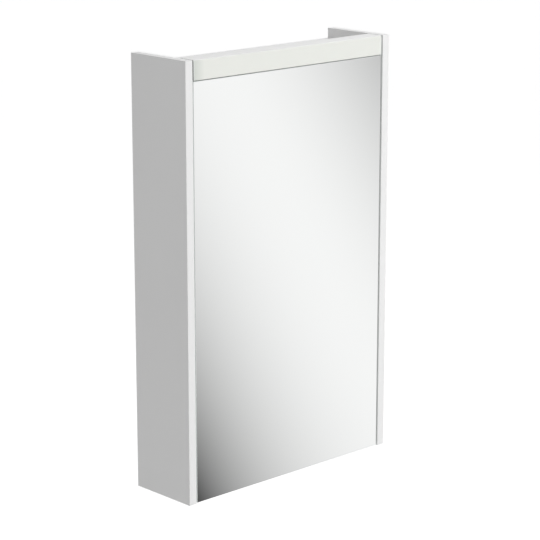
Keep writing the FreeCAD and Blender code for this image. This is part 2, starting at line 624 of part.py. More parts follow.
# Glass shelves on flat-topped pins
shelf_pins = []
for name, row in SHELF_ROWS.items():
    shelf = new_body(name + "_shelf")
    shelf_base = f"{row} + tongue_height"
    pad(shelf, oblong(shelf, "XY_Plane", shelf_base, (f"shelf_play - {INNER}", f"{INNER} - shelf_play"),
                      (f"{FRONT} + shelf_setback", f"{BACK_FACE} - shelf_play")), "shelf_thickness")
    rims = edges_where(shelf.Tip, lambda edge: not runs_along(edge, Z_AXIS))
    dress(shelf, "Chamfer", rims, "Size", "shelf_bevel")
    for column in SHELF_COLUMNS:
        for sign in (-1, 1):
            wall = f"{sign} * {INNER}"
            deep = f"{sign} * ({INNER} + pin_hole_depth - end_play)"
            collar = f"{sign} * ({INNER} - shelf_play + screw_clearance)"
            tip = f"{sign} * ({INNER} - pin_tongue)"
            spans = [(deep, wall), (wall, collar), (collar, tip)]
            if sign > 0:
                spans = [(high, low) for low, high in spans]
            shelf_pins.append(fuse(
                rod("x", column, row, spans[0], "shelf_pin_radius"),
                rod("x", column, row, spans[1], "shelf_pin_radius + pin_collar"),
                block(spans[2], about(column, "(shelf_pin_radius + tongue_side)"),
                      (f"{row} - tongue_drop", f"{row} + tongue_height"))))
piece("shelf_pins", group(*shelf_pins))

# Door: mirror glass on a board bored for the hinge cups
cup_seats = [(CUP_X, height, "cup_radius + fit_play / 2") for height in HINGE_HEIGHTS.values()]
cup_pilots = [(CUP_X, f"{height} + {sign} * cup_screw_reach", PILOT)
              for height in HINGE_HEIGHTS.values() for sign in (-1, 1)]
CATCH_FOOT = f"({CEILING} - catch_height)"
STRIKE_Z = f"({CEILING} - catch_height / 2)"
strike_pilots = [(CATCH_X, f"{STRIKE_Z} + {sign} * strike_screw_reach", PILOT) for sign in (-1, 1)]
CUP_BOTTOM = f"({PIN_Y} - cup_floor - cup_wall)"

door = new_body("door_board")
door_face = oblong(door, "XZ_Plane", f"-{DOOR_BACK}", (DOOR_LEFT, DOOR_RIGHT), (DOOR_BOTTOM, DOOR_TOP))
pad(door, door_face, "board")
cup_depths = f"{DOOR_BACK} - {CUP_BOTTOM} + fit_play"
pocket(door, circles(door, "XZ_Plane", f"-{DOOR_BACK}", cup_seats), cup_depths, True)
door_pilots = circles(door, "XZ_Plane", f"-{DOOR_BACK}", cup_pilots + strike_pilots)
pocket(door, door_pilots, "screw_bite + hole_spare", True)

mirror = new_body("mirror_glass")
pad(mirror, oblong(mirror, "XZ_Plane", f"-{MIRROR_BACK}", (DOOR_LEFT, DOOR_RIGHT), (DOOR_BOTTOM, DOOR_TOP)),
    "mirror_thickness")
rims = edges_where(mirror.Tip, lambda edge: near(edge.CenterOfMass.y, MIRROR_FACE))
dress(mirror, "Chamfer", rims, "Size", "mirror_bevel")

# Concealed hinges: cup and pin on the door, swan-neck arm and plate on the side panel
pins = []
cup_screws = []
plate_screws = []
arm_screws = []
ARM_END = f"({PIN_Y} + arm_length)"
LEG_FACE = f"({INNER} - plate_thickness)"
LEG_BACK = f"({LEG_FACE} - arm_thickness)"
EAR_START = "(arm_width / 2 + arm_play)"
CLAMP_YS = [f"({PLATE_Y} - clamp_front)", f"({PLATE_Y} + clamp_rear)"]
FOOT_CENTRE = (f"{PIN_X} - (arm_reach - foot_bend)", f"{PIN_Y} + eye_radius + foot_bend")
NECK_CENTRE = (f"{PIN_X} - (arm_reach - neck_bend)", f"{NECK_TOP} - neck_bend")
LEG_CENTRE = (f"{LEG_BACK} - foot_bend", f"{NECK_TOP} + arm_thickness + foot_bend")
for name, height in HINGE_HEIGHTS.items():
    tall = about(height, "arm_width / 2")
    strip_low = f"{PIN_Y} + eye_radius - arm_thickness"
    outer_foot = "foot_bend + arm_thickness"
    arm = fuse(
        rod("z", PIN_X, PIN_Y, tall, "eye_radius"),
        block((FOOT_CENTRE[0], PIN_X), (strip_low, f"{PIN_Y} + eye_radius"), tall),
        bend(*FOOT_CENTRE, tall, "foot_bend", outer_foot, 180),
        block((f"{PIN_X} - arm_reach - arm_thickness", f"{PIN_X} - arm_reach"),
              (FOOT_CENTRE[1], NECK_CENTRE[1]), tall),
        bend(*NECK_CENTRE, tall, "neck_bend", "neck_bend + arm_thickness", 90),
        block((NECK_CENTRE[0], LEG_CENTRE[0]), (NECK_TOP, f"{NECK_TOP} + arm_thickness"), tall),
        bend(*LEG_CENTRE, tall, "foot_bend", outer_foot, 270),
        block((LEG_BACK, LEG_FACE), (LEG_CENTRE[1], ARM_END), tall),
        block((f"{LEG_BACK} - arm_flange", LEG_BACK), (LEG_CENTRE[1], ARM_END),
              (f"{height} - arm_width / 2", f"{height} - arm_width / 2 + arm_flange_wall")),
        block((f"{LEG_BACK} - arm_flange", LEG_BACK), (LEG_CENTRE[1], ARM_END),
              (f"{height} + arm_width / 2 - arm_flange_wall", f"{height} + arm_width / 2")))
    arm_holes = [rod("x", y, height, (LEG_BACK, LEG_FACE), SCREW_HOLE) for y in CLAMP_YS]
    piece(name + "_hinge_arm", cut(arm, rod("z", PIN_X, PIN_Y, tall, "pin_radius + pin_play"), *arm_holes))

    plate = fuse(
        block((LEG_FACE, INNER), (f"{PLATE_Y} - plate_front", f"{PLATE_Y} + plate_rear"), tall),
        block((f"{INNER} - wing_thickness", INNER), about(PLATE_Y, "wing_half"),
              (f"{height} - plate_screw_reach - wing_half", f"{height} + plate_screw_reach + wing_half")))
    plate_tools = [rod("x", y, height, (LEG_FACE, INNER), PILOT) for y in CLAMP_YS]
    plate_tools += [rod("x", PLATE_Y, f"{height} + {sign} * plate_screw_reach",
                        (f"{INNER} - wing_thickness", INNER), SCREW_HOLE) for sign in (-1, 1)]
    piece(name + "_hinge_plate", cut(plate, *plate_tools))

    arm_screws += [screw("x", y, height, LEG_BACK, 1, "arm_thickness + plate_thickness - screw_clearance",
                         "clamp_head_radius")
                   for y in CLAMP_YS]
    plate_screws += [screw("x", PLATE_Y, f"{height} + {sign} * plate_screw_reach",
                           f"({INNER} - wing_thickness)", 1, "wing_thickness + screw_bite")
                     for sign in (-1, 1)]

    shell = fuse(
        rod("y", CUP_X, height, (CUP_BOTTOM, DOOR_BACK), "cup_radius"),
        rod("y", CUP_X, height, (DOOR_BACK, f"{DOOR_BACK} + cup_flange"), "cup_radius + cup_rim"),
        block(about(CUP_X, "cup_flange_half"), (DOOR_BACK, CUP_FACE),
              about(height, "(cup_screw_reach + cup_flange_end)")))
    space = rod("y", CUP_X, height, (f"{CUP_BOTTOM} + cup_wall", f"{CUP_FACE} + cup_flange"),
                "cup_radius - cup_wall")
    ears = [block((f"{PIN_X} - ear_reach", f"{PIN_X} + cup_radius"), (CUP_BOTTOM, f"{PIN_Y} + ear_reach"),
                  (f"{height} + {low}", f"{height} + {high}"))
            for low, high in ((EAR_START, "cup_radius"), ("-cup_radius", f"-{EAR_START}"))]
    pin_span = about(height, "half_pin")
    pin_hole = rod("z", PIN_X, PIN_Y, about(height, "(half_pin + pin_play)"), "pin_radius + pin_seat_play")
    flange_holes = [rod("y", CUP_X, f"{height} + {sign} * cup_screw_reach", (DOOR_BACK, CUP_FACE),
                        SCREW_HOLE) for sign in (-1, 1)]
    piece(name + "_hinge_cup", cut(shell, cut(space, *ears), pin_hole, *flange_holes))
    pins.append(rod("z", PIN_X, PIN_Y, pin_span, "pin_radius"))
    cup_screws += [screw("y", CUP_X, f"{height} + {sign} * cup_screw_reach", CUP_FACE, -1,
                         "screw_bite + hole_spare") for sign in (-1, 1)]
piece("hinge_pins", group(*pins))
piece("hinge_cup_screws", group(*cup_screws))
piece("hinge_plate_screws", group(*plate_screws))
piece("hinge_arm_screws", group(*arm_screws))

# Bumpers at the free side of the door
bumper_x = f"(bumper_inset - {INNER})"
piece("door_bumpers", group(*[rod("y", bumper_x, middle, (f"{DOOR_BACK} + bumper_play", PANEL_FRONT),
                                  "bumper_radius") for middle in BOARD_MIDDLES.values()]))

# Magnetic catch under the top panel and its strike plate on the door
magnet_box = (about(CATCH_X, "magnet_half"),
              (f"{CATCH_FRONT} - magnet_proud", f"{CATCH_FRONT} + magnet_depth"),
              about(STRIKE_Z, "magnet_height / 2"))
catch = moulded_housing("catch_housing", about(CATCH_X, "catch_width / 2"),
                        (CATCH_FRONT, f"{CATCH_FRONT} + catch_length"), (CATCH_FOOT, CEILING), CATCH_FOOT)
catch_tabs = about(CATCH_X, "(catch_width / 2 + tab_reach)")
screw_tab(catch, catch_tabs, about(CATCH_MIDDLE, "tab_half"), TAB_LEVEL, [(0, end) for end in catch_tabs])
tab_holes = [(x, CATCH_MIDDLE, SCREW_HOLE) for x in CATCH_SCREWS]
pocket(catch, circles(catch, "XY_Plane", CEILING, tab_holes), "tab_thickness")
pocket(catch, oblong(catch, "XZ_Plane", f"-{CATCH_FRONT}", magnet_box[0], magnet_box[2]), "magnet_depth")
piece("catch_magnet", block(*magnet_box))
piece("catch_screws", group(*[screw("z", x, CATCH_MIDDLE, TAB_LEVEL, 1, "screw_bite + tab_thickness")
                              for x in CATCH_SCREWS]))
strike = block(about(CATCH_X, "magnet_half"), (DOOR_BACK, STRIKE_FACE), about(STRIKE_Z, "strike_half_height"))
strike_holes = [rod("y", CATCH_X, f"{STRIKE_Z} + {sign} * strike_screw_reach", (DOOR_BACK, STRIKE_FACE),
                    SCREW_HOLE) for sign in (-1, 1)]
piece("strike_plate", cut(strike, *strike_holes))
piece("strike_screws", group(*[screw("y", CATCH_X, f"{STRIKE_Z} + {sign} * strike_screw_reach",
                                     STRIKE_FACE, -1, "screw_bite", "strike_head_radius")
                               for sign in (-1, 1)]))

# Light: aluminium housing, opal diffuser, end caps
UNDER_TOP = f"{CROWN} - diffuser_wall"
REAR_WALL = f"{LIGHT_REAR} - housing_wall"
RIB = f"{REAR_WALL} - clip_play"
RIB_FRONT = f"{RIB} - rib_thickness"
RIB_FOOT = f"{UNDER_TOP} - rib_height"
diffuser = new_body("light_diffuser")
pad(diffuser, outline(diffuser, "YZ_Plane", LIGHT_LEFT, [
    (FRONT, LIGHT_BASE), (FRONT, CROWN), (LIGHT_REAR, CROWN), (LIGHT_REAR, UNDER_TOP), (RIB, UNDER_TOP),
    (RIB, RIB_FOOT), (RIB_FRONT, RIB_FOOT), (RIB_FRONT, UNDER_TOP),
    (f"{FRONT} + diffuser_wall", UNDER_TOP), (f"{FRONT} + diffuser_wall", f"{LIGHT_BASE} + diffuser_wall"),
    (f"{FRONT} + diffuser_lip", f"{LIGHT_BASE} + diffuser_wall"), (f"{FRONT} + diffuser_lip", LIGHT_BASE)]),
    LIGHT_LENGTH)
nose = edges_where(diffuser.Tip, lambda edge: runs_along(edge, X_AXIS) and near(edge.CenterOfMass.y, FRONT)
                   and near(edge.CenterOfMass.z, CROWN))
dress(diffuser, "Fillet", nose, "Radius", "diffuser_radius")

housing = new_body("light_housing")
LIP = f"{FRONT} + diffuser_lip"
TRAY = f"{LIGHT_BASE} + housing_wall"
TRAY_EDGE = f"{LIP} + clip_play"
CLIP_FOOT = f"{LIGHT_BASE} + diffuser_wall + clip_play / 2"
CLIP_TOP = f"{CLIP_FOOT} + clip_thickness"
FLANGE = f"{LIGHT_REAR} + housing_flange"
pad(housing, outline(housing, "YZ_Plane", LIGHT_LEFT, [
    (TRAY_EDGE, LIGHT_BASE), (FLANGE, LIGHT_BASE), (FLANGE, TRAY), (LIGHT_REAR, TRAY),
    (LIGHT_REAR, UNDER_TOP), (REAR_WALL, UNDER_TOP), (REAR_WALL, TRAY), (f"{LIP} + clip_rear", TRAY),
    (f"{LIP} + clip_rear", CLIP_TOP), (f"{LIP} - clip_front", CLIP_TOP), (f"{LIP} - clip_front", CLIP_FOOT),
    (TRAY_EDGE, CLIP_FOOT)]),
    LIGHT_LENGTH)
pocket(housing, circles(housing, "XY_Plane", TRAY,
                        [(x, LIGHT_SCREW_Y, SCREW_HOLE) for x in LIGHT_SCREW_XS]), "housing_wall")
lead_way = [(LED_LEAD_X, LEAD_LEVEL, f"{THIN_SLEEVE} + grommet_play")]
pocket(housing, circles(housing, "XZ_Plane", f"-{LIGHT_REAR}", lead_way), "housing_wall", True)

for label, start in (("left_end_cap", DOOR_LEFT), ("right_end_cap", LIGHT_RIGHT)):
    cap = new_body(label)
    pad(cap, oblong(cap, "YZ_Plane", start, (FRONT, LIGHT_REAR), (LIGHT_BASE, CROWN)), "cap_thickness")
    nose = edges_where(cap.Tip, lambda edge: runs_along(edge, X_AXIS) and near(edge.CenterOfMass.y, FRONT)
                       and near(edge.CenterOfMass.z, CROWN))
    dress(cap, "Fillet", nose, "Radius", "diffuser_radius")

LED_MIDDLE = f"({LIGHT_BASE} + led_height)"
LED_FACE = f"({REAR_WALL} - led_board_thickness)"
LED_HALF = f"({LIGHT_LENGTH} / 2 - led_end_gap)"
piece("led_board", block(about(LIGHT_MIDDLE, LED_HALF), (LED_FACE, REAR_WALL),
                         about(LED_MIDDLE, "led_board_height / 2")))
CHIPS_EACH_SIDE = int(value(f"({LED_HALF} - chip_width) / led_count_pitch"))
chips = []
for step in range(-CHIPS_EACH_SIDE, CHIPS_EACH_SIDE + 1):
    chip_x = f"({LIGHT_MIDDLE} + {step} * led_count_pitch)"
    chips.append(block(about(chip_x, "chip_width / 2"),
                       (f"{LED_FACE} - chip_thickness", LED_FACE),
                       about(LED_MIDDLE, "chip_height / 2")))
piece("led_chips", group(*chips))
piece("light_screws", group(*[screw("z", x, LIGHT_SCREW_Y, f"({TRAY})", -1, "housing_wall + screw_bite")
                              for x in LIGHT_SCREW_XS]))

# Driver in the well behind the light, with its cable inlet
DRIVER_TOP = f"({LIGHT_BASE} + driver_height)"
TAB_TOP = f"({LIGHT_BASE} + tab_thickness)"
case = moulded_housing("driver_case", (DRIVER_LEFT, DRIVER_RIGHT), (DRIVER_FRONT, DRIVER_REAR),
                       (LIGHT_BASE, DRIVER_TOP), DRIVER_TOP, DRIVER_RIGHT)
FRONT_TAB = f"({DRIVER_FRONT} - driver_tab)"
REAR_TAB = f"({DRIVER_REAR} + driver_tab)"
screw_tab(case, about(DRIVER_SCREWS[0][0], "tab_half"), (FRONT_TAB, f"{DRIVER_FRONT} + moulded_radius"),
          LIGHT_BASE, [(1, FRONT_TAB)])
screw_tab(case, about(DRIVER_SCREWS[1][0], "tab_half"), (f"{DRIVER_REAR} - moulded_radius", REAR_TAB),
          LIGHT_BASE, [(1, REAR_TAB)])
tab_holes = [(x, y, SCREW_HOLE) for x, y in DRIVER_SCREWS]
pocket(case, circles(case, "XY_Plane", TAB_TOP, tab_holes), "tab_thickness")
lead_holes = [(y, LEAD_LEVEL, LEAD_BORE) for y in (LED_LEAD_Y, SWITCH_LEAD_Y)]
pocket(case, circles(case, "YZ_Plane", DRIVER_LEFT, lead_holes), "lead_seat", True)
INLET_END = f"({DRIVER_RIGHT} + inlet_length)"
INLET_TOP = f"({DRIVER_TOP} - inlet_step)"
INLET_Y = f"(({DRIVER_FRONT} + {DRIVER_REAR}) / 2)"
INLET_Z = f"({LIGHT_BASE} + driver_height / 2)"
inlet = moulded_housing("driver_inlet_cover", (DRIVER_RIGHT, INLET_END),
                        (f"{DRIVER_FRONT} + inlet_step", f"{DRIVER_REAR} - inlet_step"),
                        (LIGHT_BASE, INLET_TOP), INLET_TOP, DRIVER_RIGHT)
pocket(inlet, circles(inlet, "YZ_Plane", INLET_END, [(INLET_Y, INLET_Z, "inlet_radius")]), "inlet_depth")
case_screws = [screw("z", x, y, TAB_TOP, -1, "tab_thickness + screw_bite") for x, y in DRIVER_SCREWS]
piece("driver_screws", group(*case_screws))

# Leads held all the way: driver to light, driver to switch
BEND_X = f"({DRIVER_LEFT} - lead_start)"
piece("led_lead", fuse(
    rod("x", LED_LEAD_Y, LEAD_LEVEL, (BEND_X, f"{DRIVER_LEFT} + lead_seat"), "lead_radius"),
    lead_bend(BEND_X, f"{LED_LEAD_Y} - led_lead_bend", LEAD_LEVEL, "led_lead_bend", Y_AXIS, -X_AXIS),
    rod("y", LED_LEAD_X, LEAD_LEVEL, (REAR_WALL, f"{LED_LEAD_Y} - led_lead_bend"), "lead_radius")))
SWITCH_DROP = f"({LEAD_LEVEL} - switch_lead_bend)"
piece("switch_lead", fuse(
    rod("x", SWITCH_LEAD_Y, LEAD_LEVEL, (BEND_X, f"{DRIVER_LEFT} + lead_seat"), "lead_radius"),
    lead_bend(BEND_X, SWITCH_LEAD_Y, SWITCH_DROP, "switch_lead_bend", -X_AXIS, Z_AXIS),
    rod("z", SWITCH_X, SWITCH_LEAD_Y, (f"{CEILING} - lead_seat", SWITCH_DROP), "lead_radius")))
piece("led_lead_grommet", cut(
    fuse(rod("y", LED_LEAD_X, LEAD_LEVEL, (REAR_WALL, LIGHT_REAR), THIN_SLEEVE),
         rod("y", LED_LEAD_X, LEAD_LEVEL, (LIGHT_REAR, f"{LIGHT_REAR} + grommet_lip"),
             f"{THIN_SLEEVE} + grommet_lip")),
    rod("y", LED_LEAD_X, LEAD_LEVEL, (REAR_WALL, f"{LIGHT_REAR} + grommet_lip"), LEAD_BORE)))
piece("switch_lead_grommet", cut(
    fuse(rod("z", SWITCH_X, SWITCH_LEAD_Y, (CEILING, LIGHT_BASE), THICK_SLEEVE),
         rod("z", SWITCH_X, SWITCH_LEAD_Y, (LIGHT_BASE, f"{LIGHT_BASE} + grommet_lip"),
             f"{THICK_SLEEVE} + grommet_lip")),
    rod("z", SWITCH_X, SWITCH_LEAD_Y, (CEILING, f"{LIGHT_BASE} + grommet_lip"), LEAD_BORE)))

# Switch under the top panel
WINDOW_HALF = "(rocker_width / 2 + rocker_play)"
WINDOW_RISE = "(rocker_half_height + rocker_swing)"
STUB_END = f"({WINDOW_HALF} + stub_length)"
SWITCH_FOOT = f"({CEILING} - switch_height)"
box = moulded_housing("switch_housing", about(SWITCH_X, "switch_width / 2"),
                      (SWITCH_FACE, f"{SWITCH_LEAD_Y} + switch_rear"), (SWITCH_FOOT, CEILING), SWITCH_FOOT)
switch_tabs = about(SWITCH_X, "(switch_width / 2 + tab_reach)")
screw_tab(box, switch_tabs, about(SWITCH_MIDDLE, "tab_half"), TAB_LEVEL, [(0, end) for end in switch_tabs])
tab_holes = [(x, SWITCH_MIDDLE, SCREW_HOLE) for x in SWITCH_SCREWS]
pocket(box, circles(box, "XY_Plane", CEILING, tab_holes), "tab_thickness")
pocket(box, circles(box, "XY_Plane", CEILING, [(SWITCH_X, SWITCH_LEAD_Y, LEAD_BORE)]), "lead_seat")
window = oblong(box, "XZ_Plane", f"-{SWITCH_FACE}",
                about(SWITCH_X, WINDOW_HALF), about(SWITCH_LEVEL, WINDOW_RISE))
pocket(box, window, "window_depth")
pivot = circles(box, "YZ_Plane", f"{SWITCH_X} + {STUB_END}",
                [(ROCKER_Y, SWITCH_LEVEL, "rocker_pivot_radius + pin_play")])
pocket(box, pivot, f"2 * {STUB_END}")
piece("switch_screws", group(*[screw("z", x, SWITCH_MIDDLE, TAB_LEVEL, 1, "screw_bite + tab_thickness")
                               for x in SWITCH_SCREWS]))

rocker = new_body("switch_rocker")
pad(rocker, outline(rocker, "YZ_Plane", "-rocker_width / 2", [
    ("-rocker_rise", "rocker_half_height"), ("-rocker_dip", "0"), ("-rocker_rise", "-rocker_half_height"),
    ("0", "rocker_taper - rocker_half_height"), ("rocker_back", "0"),
    ("0", "rocker_half_height - rocker_taper")]), "rocker_width")
stubs = circles(rocker, "YZ_Plane", "-rocker_width / 2 - stub_length", [("0", "0", "rocker_pivot_radius")])
pad(rocker, stubs, "rocker_width + 2 * stub_length")
rocker.Placement.Rotation = FreeCAD.Rotation(X_AXIS, 1)
rocker.setExpression("Placement.Rotation.Angle", cell("rocker_tilt"))
place(rocker, SWITCH_X, ROCKER_Y, SWITCH_LEVEL)

doc.recompute()
for item in doc.Objects:
    if "Invalid" in item.State or "Error" in item.State:
        raise RuntimeError(f"{item.Label}: {item.State}")
os.makedirs("parts", exist_ok=True)
for item in pieces:
    if item.Shape.isNull() or not item.Shape.isValid():
        raise RuntimeError(item.Label + ": shape is not valid")
    item.Shape.exportStep(f"parts/{item.Label}.step")
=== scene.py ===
import math

import bmesh
import bpy
from mathutils import Matrix, Vector


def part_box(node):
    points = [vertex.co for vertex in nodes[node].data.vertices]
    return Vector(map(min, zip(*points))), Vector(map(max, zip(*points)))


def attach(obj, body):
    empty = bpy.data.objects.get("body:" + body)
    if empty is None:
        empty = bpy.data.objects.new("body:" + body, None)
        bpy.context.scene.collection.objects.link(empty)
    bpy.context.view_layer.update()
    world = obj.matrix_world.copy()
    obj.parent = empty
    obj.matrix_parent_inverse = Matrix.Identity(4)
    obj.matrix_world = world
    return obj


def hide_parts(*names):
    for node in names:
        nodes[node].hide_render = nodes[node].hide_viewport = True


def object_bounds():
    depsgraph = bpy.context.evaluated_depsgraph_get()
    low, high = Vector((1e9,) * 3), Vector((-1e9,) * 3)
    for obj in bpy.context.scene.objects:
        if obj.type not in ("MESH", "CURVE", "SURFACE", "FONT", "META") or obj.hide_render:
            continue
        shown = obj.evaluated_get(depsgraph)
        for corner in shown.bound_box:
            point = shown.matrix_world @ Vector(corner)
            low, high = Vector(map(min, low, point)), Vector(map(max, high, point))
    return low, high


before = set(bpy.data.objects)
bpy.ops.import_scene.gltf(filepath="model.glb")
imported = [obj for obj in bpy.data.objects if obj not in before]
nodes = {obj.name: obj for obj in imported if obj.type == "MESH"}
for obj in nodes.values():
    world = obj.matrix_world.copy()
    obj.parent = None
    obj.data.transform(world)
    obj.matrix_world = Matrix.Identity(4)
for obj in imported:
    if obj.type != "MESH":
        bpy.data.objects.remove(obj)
cad_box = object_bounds()

MM = 0.001
LEFT = (-1, 0, 0)
RIGHT = (1, 0, 0)
BACK = (0, 1, 0)
UP = (0, 0, 1)

# The photograph's view: camera place, the point it looks at and its focal length
CAMERA_AT = Vector((-2.2386, -2.4631, 0.5268))
CAMERA_AIM = Vector((-0.0479, -0.130, -0.2836))
LENS_MM = 135.53
SENSOR_MM = 36.0
PICTURE_PX = 540


class Field:
    """A value that varies over a surface; arithmetic on it adds the nodes it needs"""

    def __init__(self, shading, socket):
        self.shading = shading
        self.socket = socket

    def math(self, operation, *values):
        settings = {"operation": operation}
        return self.shading.node("ShaderNodeMath", settings, dict(enumerate(values)))

    def __add__(self, other):
        return self.math("ADD", self, other)

    def __radd__(self, other):
        return self.math("ADD", other, self)

    def __sub__(self, other):
        return self.math("SUBTRACT", self, other)

    def __rsub__(self, other):
        return self.math("SUBTRACT", other, self)

    def __mul__(self, other):
        return self.math("MULTIPLY", self, other)

    def __rmul__(self, other):
        return self.math("MULTIPLY", other, self)

    def __truediv__(self, other):
        return self.math("DIVIDE", self, other)

    def __rtruediv__(self, other):
        return self.math("DIVIDE", other, self)

    def __abs__(self):
        return self.math("ABSOLUTE", self)

    def or_more(self, other):
        return self.math("MAXIMUM", self, other)

    def or_less(self, other):
        return self.math("MINIMUM", self, other)

    def sine(self):
        return self.math("SINE", self)

    def bearing(self, ahead):
        """Angle whose tangent is this value over the one ahead"""
        return self.math("ARCTAN2", self, ahead)

    def wrap(self, pitch):
        """The same value counted from the nearest multiple of a pitch"""
        return self.math("WRAP", self, pitch / 2, -pitch / 2)

    def rise(self, low, high):
        """0 before low, 1 past high, smooth between; a fall where low is the larger"""
        return self.shading.node("ShaderNodeMapRange", {"interpolation_type": "SMOOTHSTEP"},
                                 {"Value": self, "From Min": low, "From Max": high})

    def within(self, reach, soft):
        """1 up to a reach and 0 past it, softened by that much to both sides"""
        return self.rise(reach + soft, reach - soft)

    def line(self, middle, width):
        """1 on a thin line where the value passes the middle, 0 away from it"""
        return 1 - abs(self - middle).rise(width / 2, width)


class Shading:
    """The nodes of one finish, or of the surroundings"""

    def __init__(self, tree, surface):
        self.tree = tree
        self.surface = tree.nodes[surface]

    def node(self, kind, settings, sockets, output=0):
        """One node: its settings first, then the values and links of its sockets"""
        made = self.tree.nodes.new(kind)
        for name, setting in settings.items():
            setattr(made, name, setting)
        for name, value in sockets.items():
            self.plug(made.inputs[name], value)
        return Field(self, made.outputs[output])

    def plug(self, socket, value):
        """Links a field to a socket, or sets a number or colour on it"""
        if isinstance(value, Field):
            self.tree.links.new(value.socket, socket)
        elif socket.type == "RGBA":
            socket.default_value = (*value, 1)
        else:
            socket.default_value = value

    def feed(self, socket, value):
        """Plugs a value into the surface shader"""
        self.plug(self.surface.inputs[socket], value)

    def vector(self, operation, *values, output="Vector"):
        settings = {"operation": operation}
        return self.node("ShaderNodeVectorMath", settings, dict(enumerate(values)), output)

    def along(self, vector, axis):
        """How far a vector reaches along an axis"""
        return self.vector("DOT_PRODUCT", vector, axis, output="Value")

    def split(self, vector):
        """Reach of a vector to the right, to the back and up"""
        return [self.along(vector, axis) for axis in (RIGHT, BACK, UP)]

    def mix(self, share, first, second):
        """Colour between two others"""
        sockets = {0: share, 6: first, 7: second}
        return self.node("ShaderNodeMix", {"data_type": "RGBA"}, sockets, 2)

    def seen_directly(self):
        """1 for rays that show the surroundings: to the camera, by reflection or through glass"""
        camera, glossy, clear = [
            self.node("ShaderNodeLightPath", {}, {}, kind)
            for kind in ("Is Camera Ray", "Is Glossy Ray", "Is Transmission Ray")]
        return camera.or_more(glossy).or_more(clear)


class Finish(Shading):
    """A material with one surface shader and the fields that feed it"""

    def __init__(self, name, **sockets):
        self.material = bpy.data.materials.new(name)
        self.material.use_nodes = True
        super().__init__(self.material.node_tree, "Principled BSDF")
        for socket, value in sockets.items():
            self.feed(socket.replace("_", " "), value)

    def place(self):
        """Place on the piece, in the cabinet's own frame"""
        return self.node("ShaderNodeTexCoord", {}, {}, "Object")

    def facing(self):
        """Way the surface faces, in the piece's own frame"""
        return self.node("ShaderNodeTexCoord", {}, {}, "Normal")

    def noise(self, scale, detail=2.0, roughness=0.5, stretch=(1, 1, 1)):
        """Soft cloudy field, 0 to 1; scale in features per metre, stretched along the axes"""
        at = self.vector("DIVIDE", self.place(), stretch)
        sockets = {"Vector": at, "Scale": scale, "Detail": detail, "Roughness": roughness}
        return self.node("ShaderNodeTexNoise", {}, sockets)

    def bump(self, height, depth_mm, strength):
        """Normal of a fine relief, given its height field and its depth"""
        sockets = {"Height": height, "Distance": depth_mm * MM, "Strength": strength}
        return self.node("ShaderNodeBump", {}, sockets)

    def shades(self, share, colour, dark, pale):
        """A colour that varies between two shades of itself"""
        return self.mix(share, shade(colour, dark), shade(colour, pale))

    def mark(self, share, colour):
        """Another colour over the base colour that is already fed"""
        under = Field(self, self.surface.inputs["Base Color"].links[0].from_socket)
        self.feed("Base Color", self.mix(share, under, colour))


def grey(level):
    return (level, level, level)


def shade(colour, share):
    return tuple(channel * share for channel in colour)


# A face counts as turned one way once its normal reaches this far along that way
TURN_FROM = 0.5
TURN_TO = 0.8

# Finishes of the boards
BOARD_WHITE = (0.83, 0.83, 0.828)
EDGE_BAND = 1.0 * MM
SEAM_WIDTH = 0.12 * MM
SEAM_SHARE = 0.5
SEAM_TONE = shade(BOARD_WHITE, 0.62)
HARDBOARD_DARK = (0.22, 0.118, 0.058)
HARDBOARD_PALE = (0.43, 0.265, 0.142)
HARDBOARD_MAT = (0.25, 0.140, 0.070)
HARDBOARD_FLECK = (0.12, 0.062, 0.030)
HARDBOARD_STRAW = (0.52, 0.36, 0.21)


def laminate(name, seams=()):
    """White melamine: slow clouding, fine pearl texture, thin glue lines beside the edge band"""
    finish = Finish(name)
    clouds = finish.noise(7, detail=3)
    colour = finish.shades(clouds, BOARD_WHITE, 0.985, 1.015)
    where = dict(zip("xyz", finish.split(finish.place())))
    for axis, level in seams:
        seam = where[axis].line(level, SEAM_WIDTH)
        colour = finish.mix(seam * SEAM_SHARE, colour, SEAM_TONE)
    finish.feed("Base Color", colour)
    finish.feed("Roughness", 0.36 + 0.1 * finish.noise(160) + 0.05 * clouds)
    finish.feed("Normal", finish.bump(finish.noise(1100), depth_mm=0.02, strength=0.35))
    return finish


def side_laminate():
    """Laminate of the side panels, with glue lines behind the front and under the top edge band"""
    low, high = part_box("left_side_panel")
    seams = [("y", low.y + EDGE_BAND), ("z", high.z - EDGE_BAND)]
    return laminate("white side laminate", seams)


def back_hardboard():
    """Hardboard lacquered white inside, brown and fibrous at the back and on its edges"""
    finish = Finish("lacquered hardboard")
    behind = finish.along(finish.facing(), BACK).rise(-TURN_TO, -TURN_FROM)
    mats = finish.noise(16, detail=4, roughness=0.6)
    fibres = finish.noise(420, detail=5, roughness=0.7, stretch=(3, 1, 1))
    flecks = finish.noise(520, detail=3, roughness=0.6, stretch=(2, 1, 1))
    brown = finish.mix(fibres, HARDBOARD_DARK, HARDBOARD_PALE)
    brown = finish.mix(mats.rise(0.35, 0.7) * 0.45, brown, HARDBOARD_MAT)
    brown = finish.mix(flecks.rise(0.58, 0.68) * 0.6, brown, HARDBOARD_FLECK)
    brown = finish.mix((1 - flecks).rise(0.62, 0.72) * 0.5, brown, HARDBOARD_STRAW)
    white = finish.shades(finish.noise(9, detail=3), BOARD_WHITE, 0.975, 1.0)
    fuzz = fibres * behind + 0.2 * flecks
    finish.feed("Base Color", finish.mix(behind, white, brown))
    finish.feed("Roughness", 0.4 + 0.35 * behind + 0.08 * fibres)
    finish.feed("Normal", finish.bump(fuzz, depth_mm=0.08, strength=0.4))
    return finish


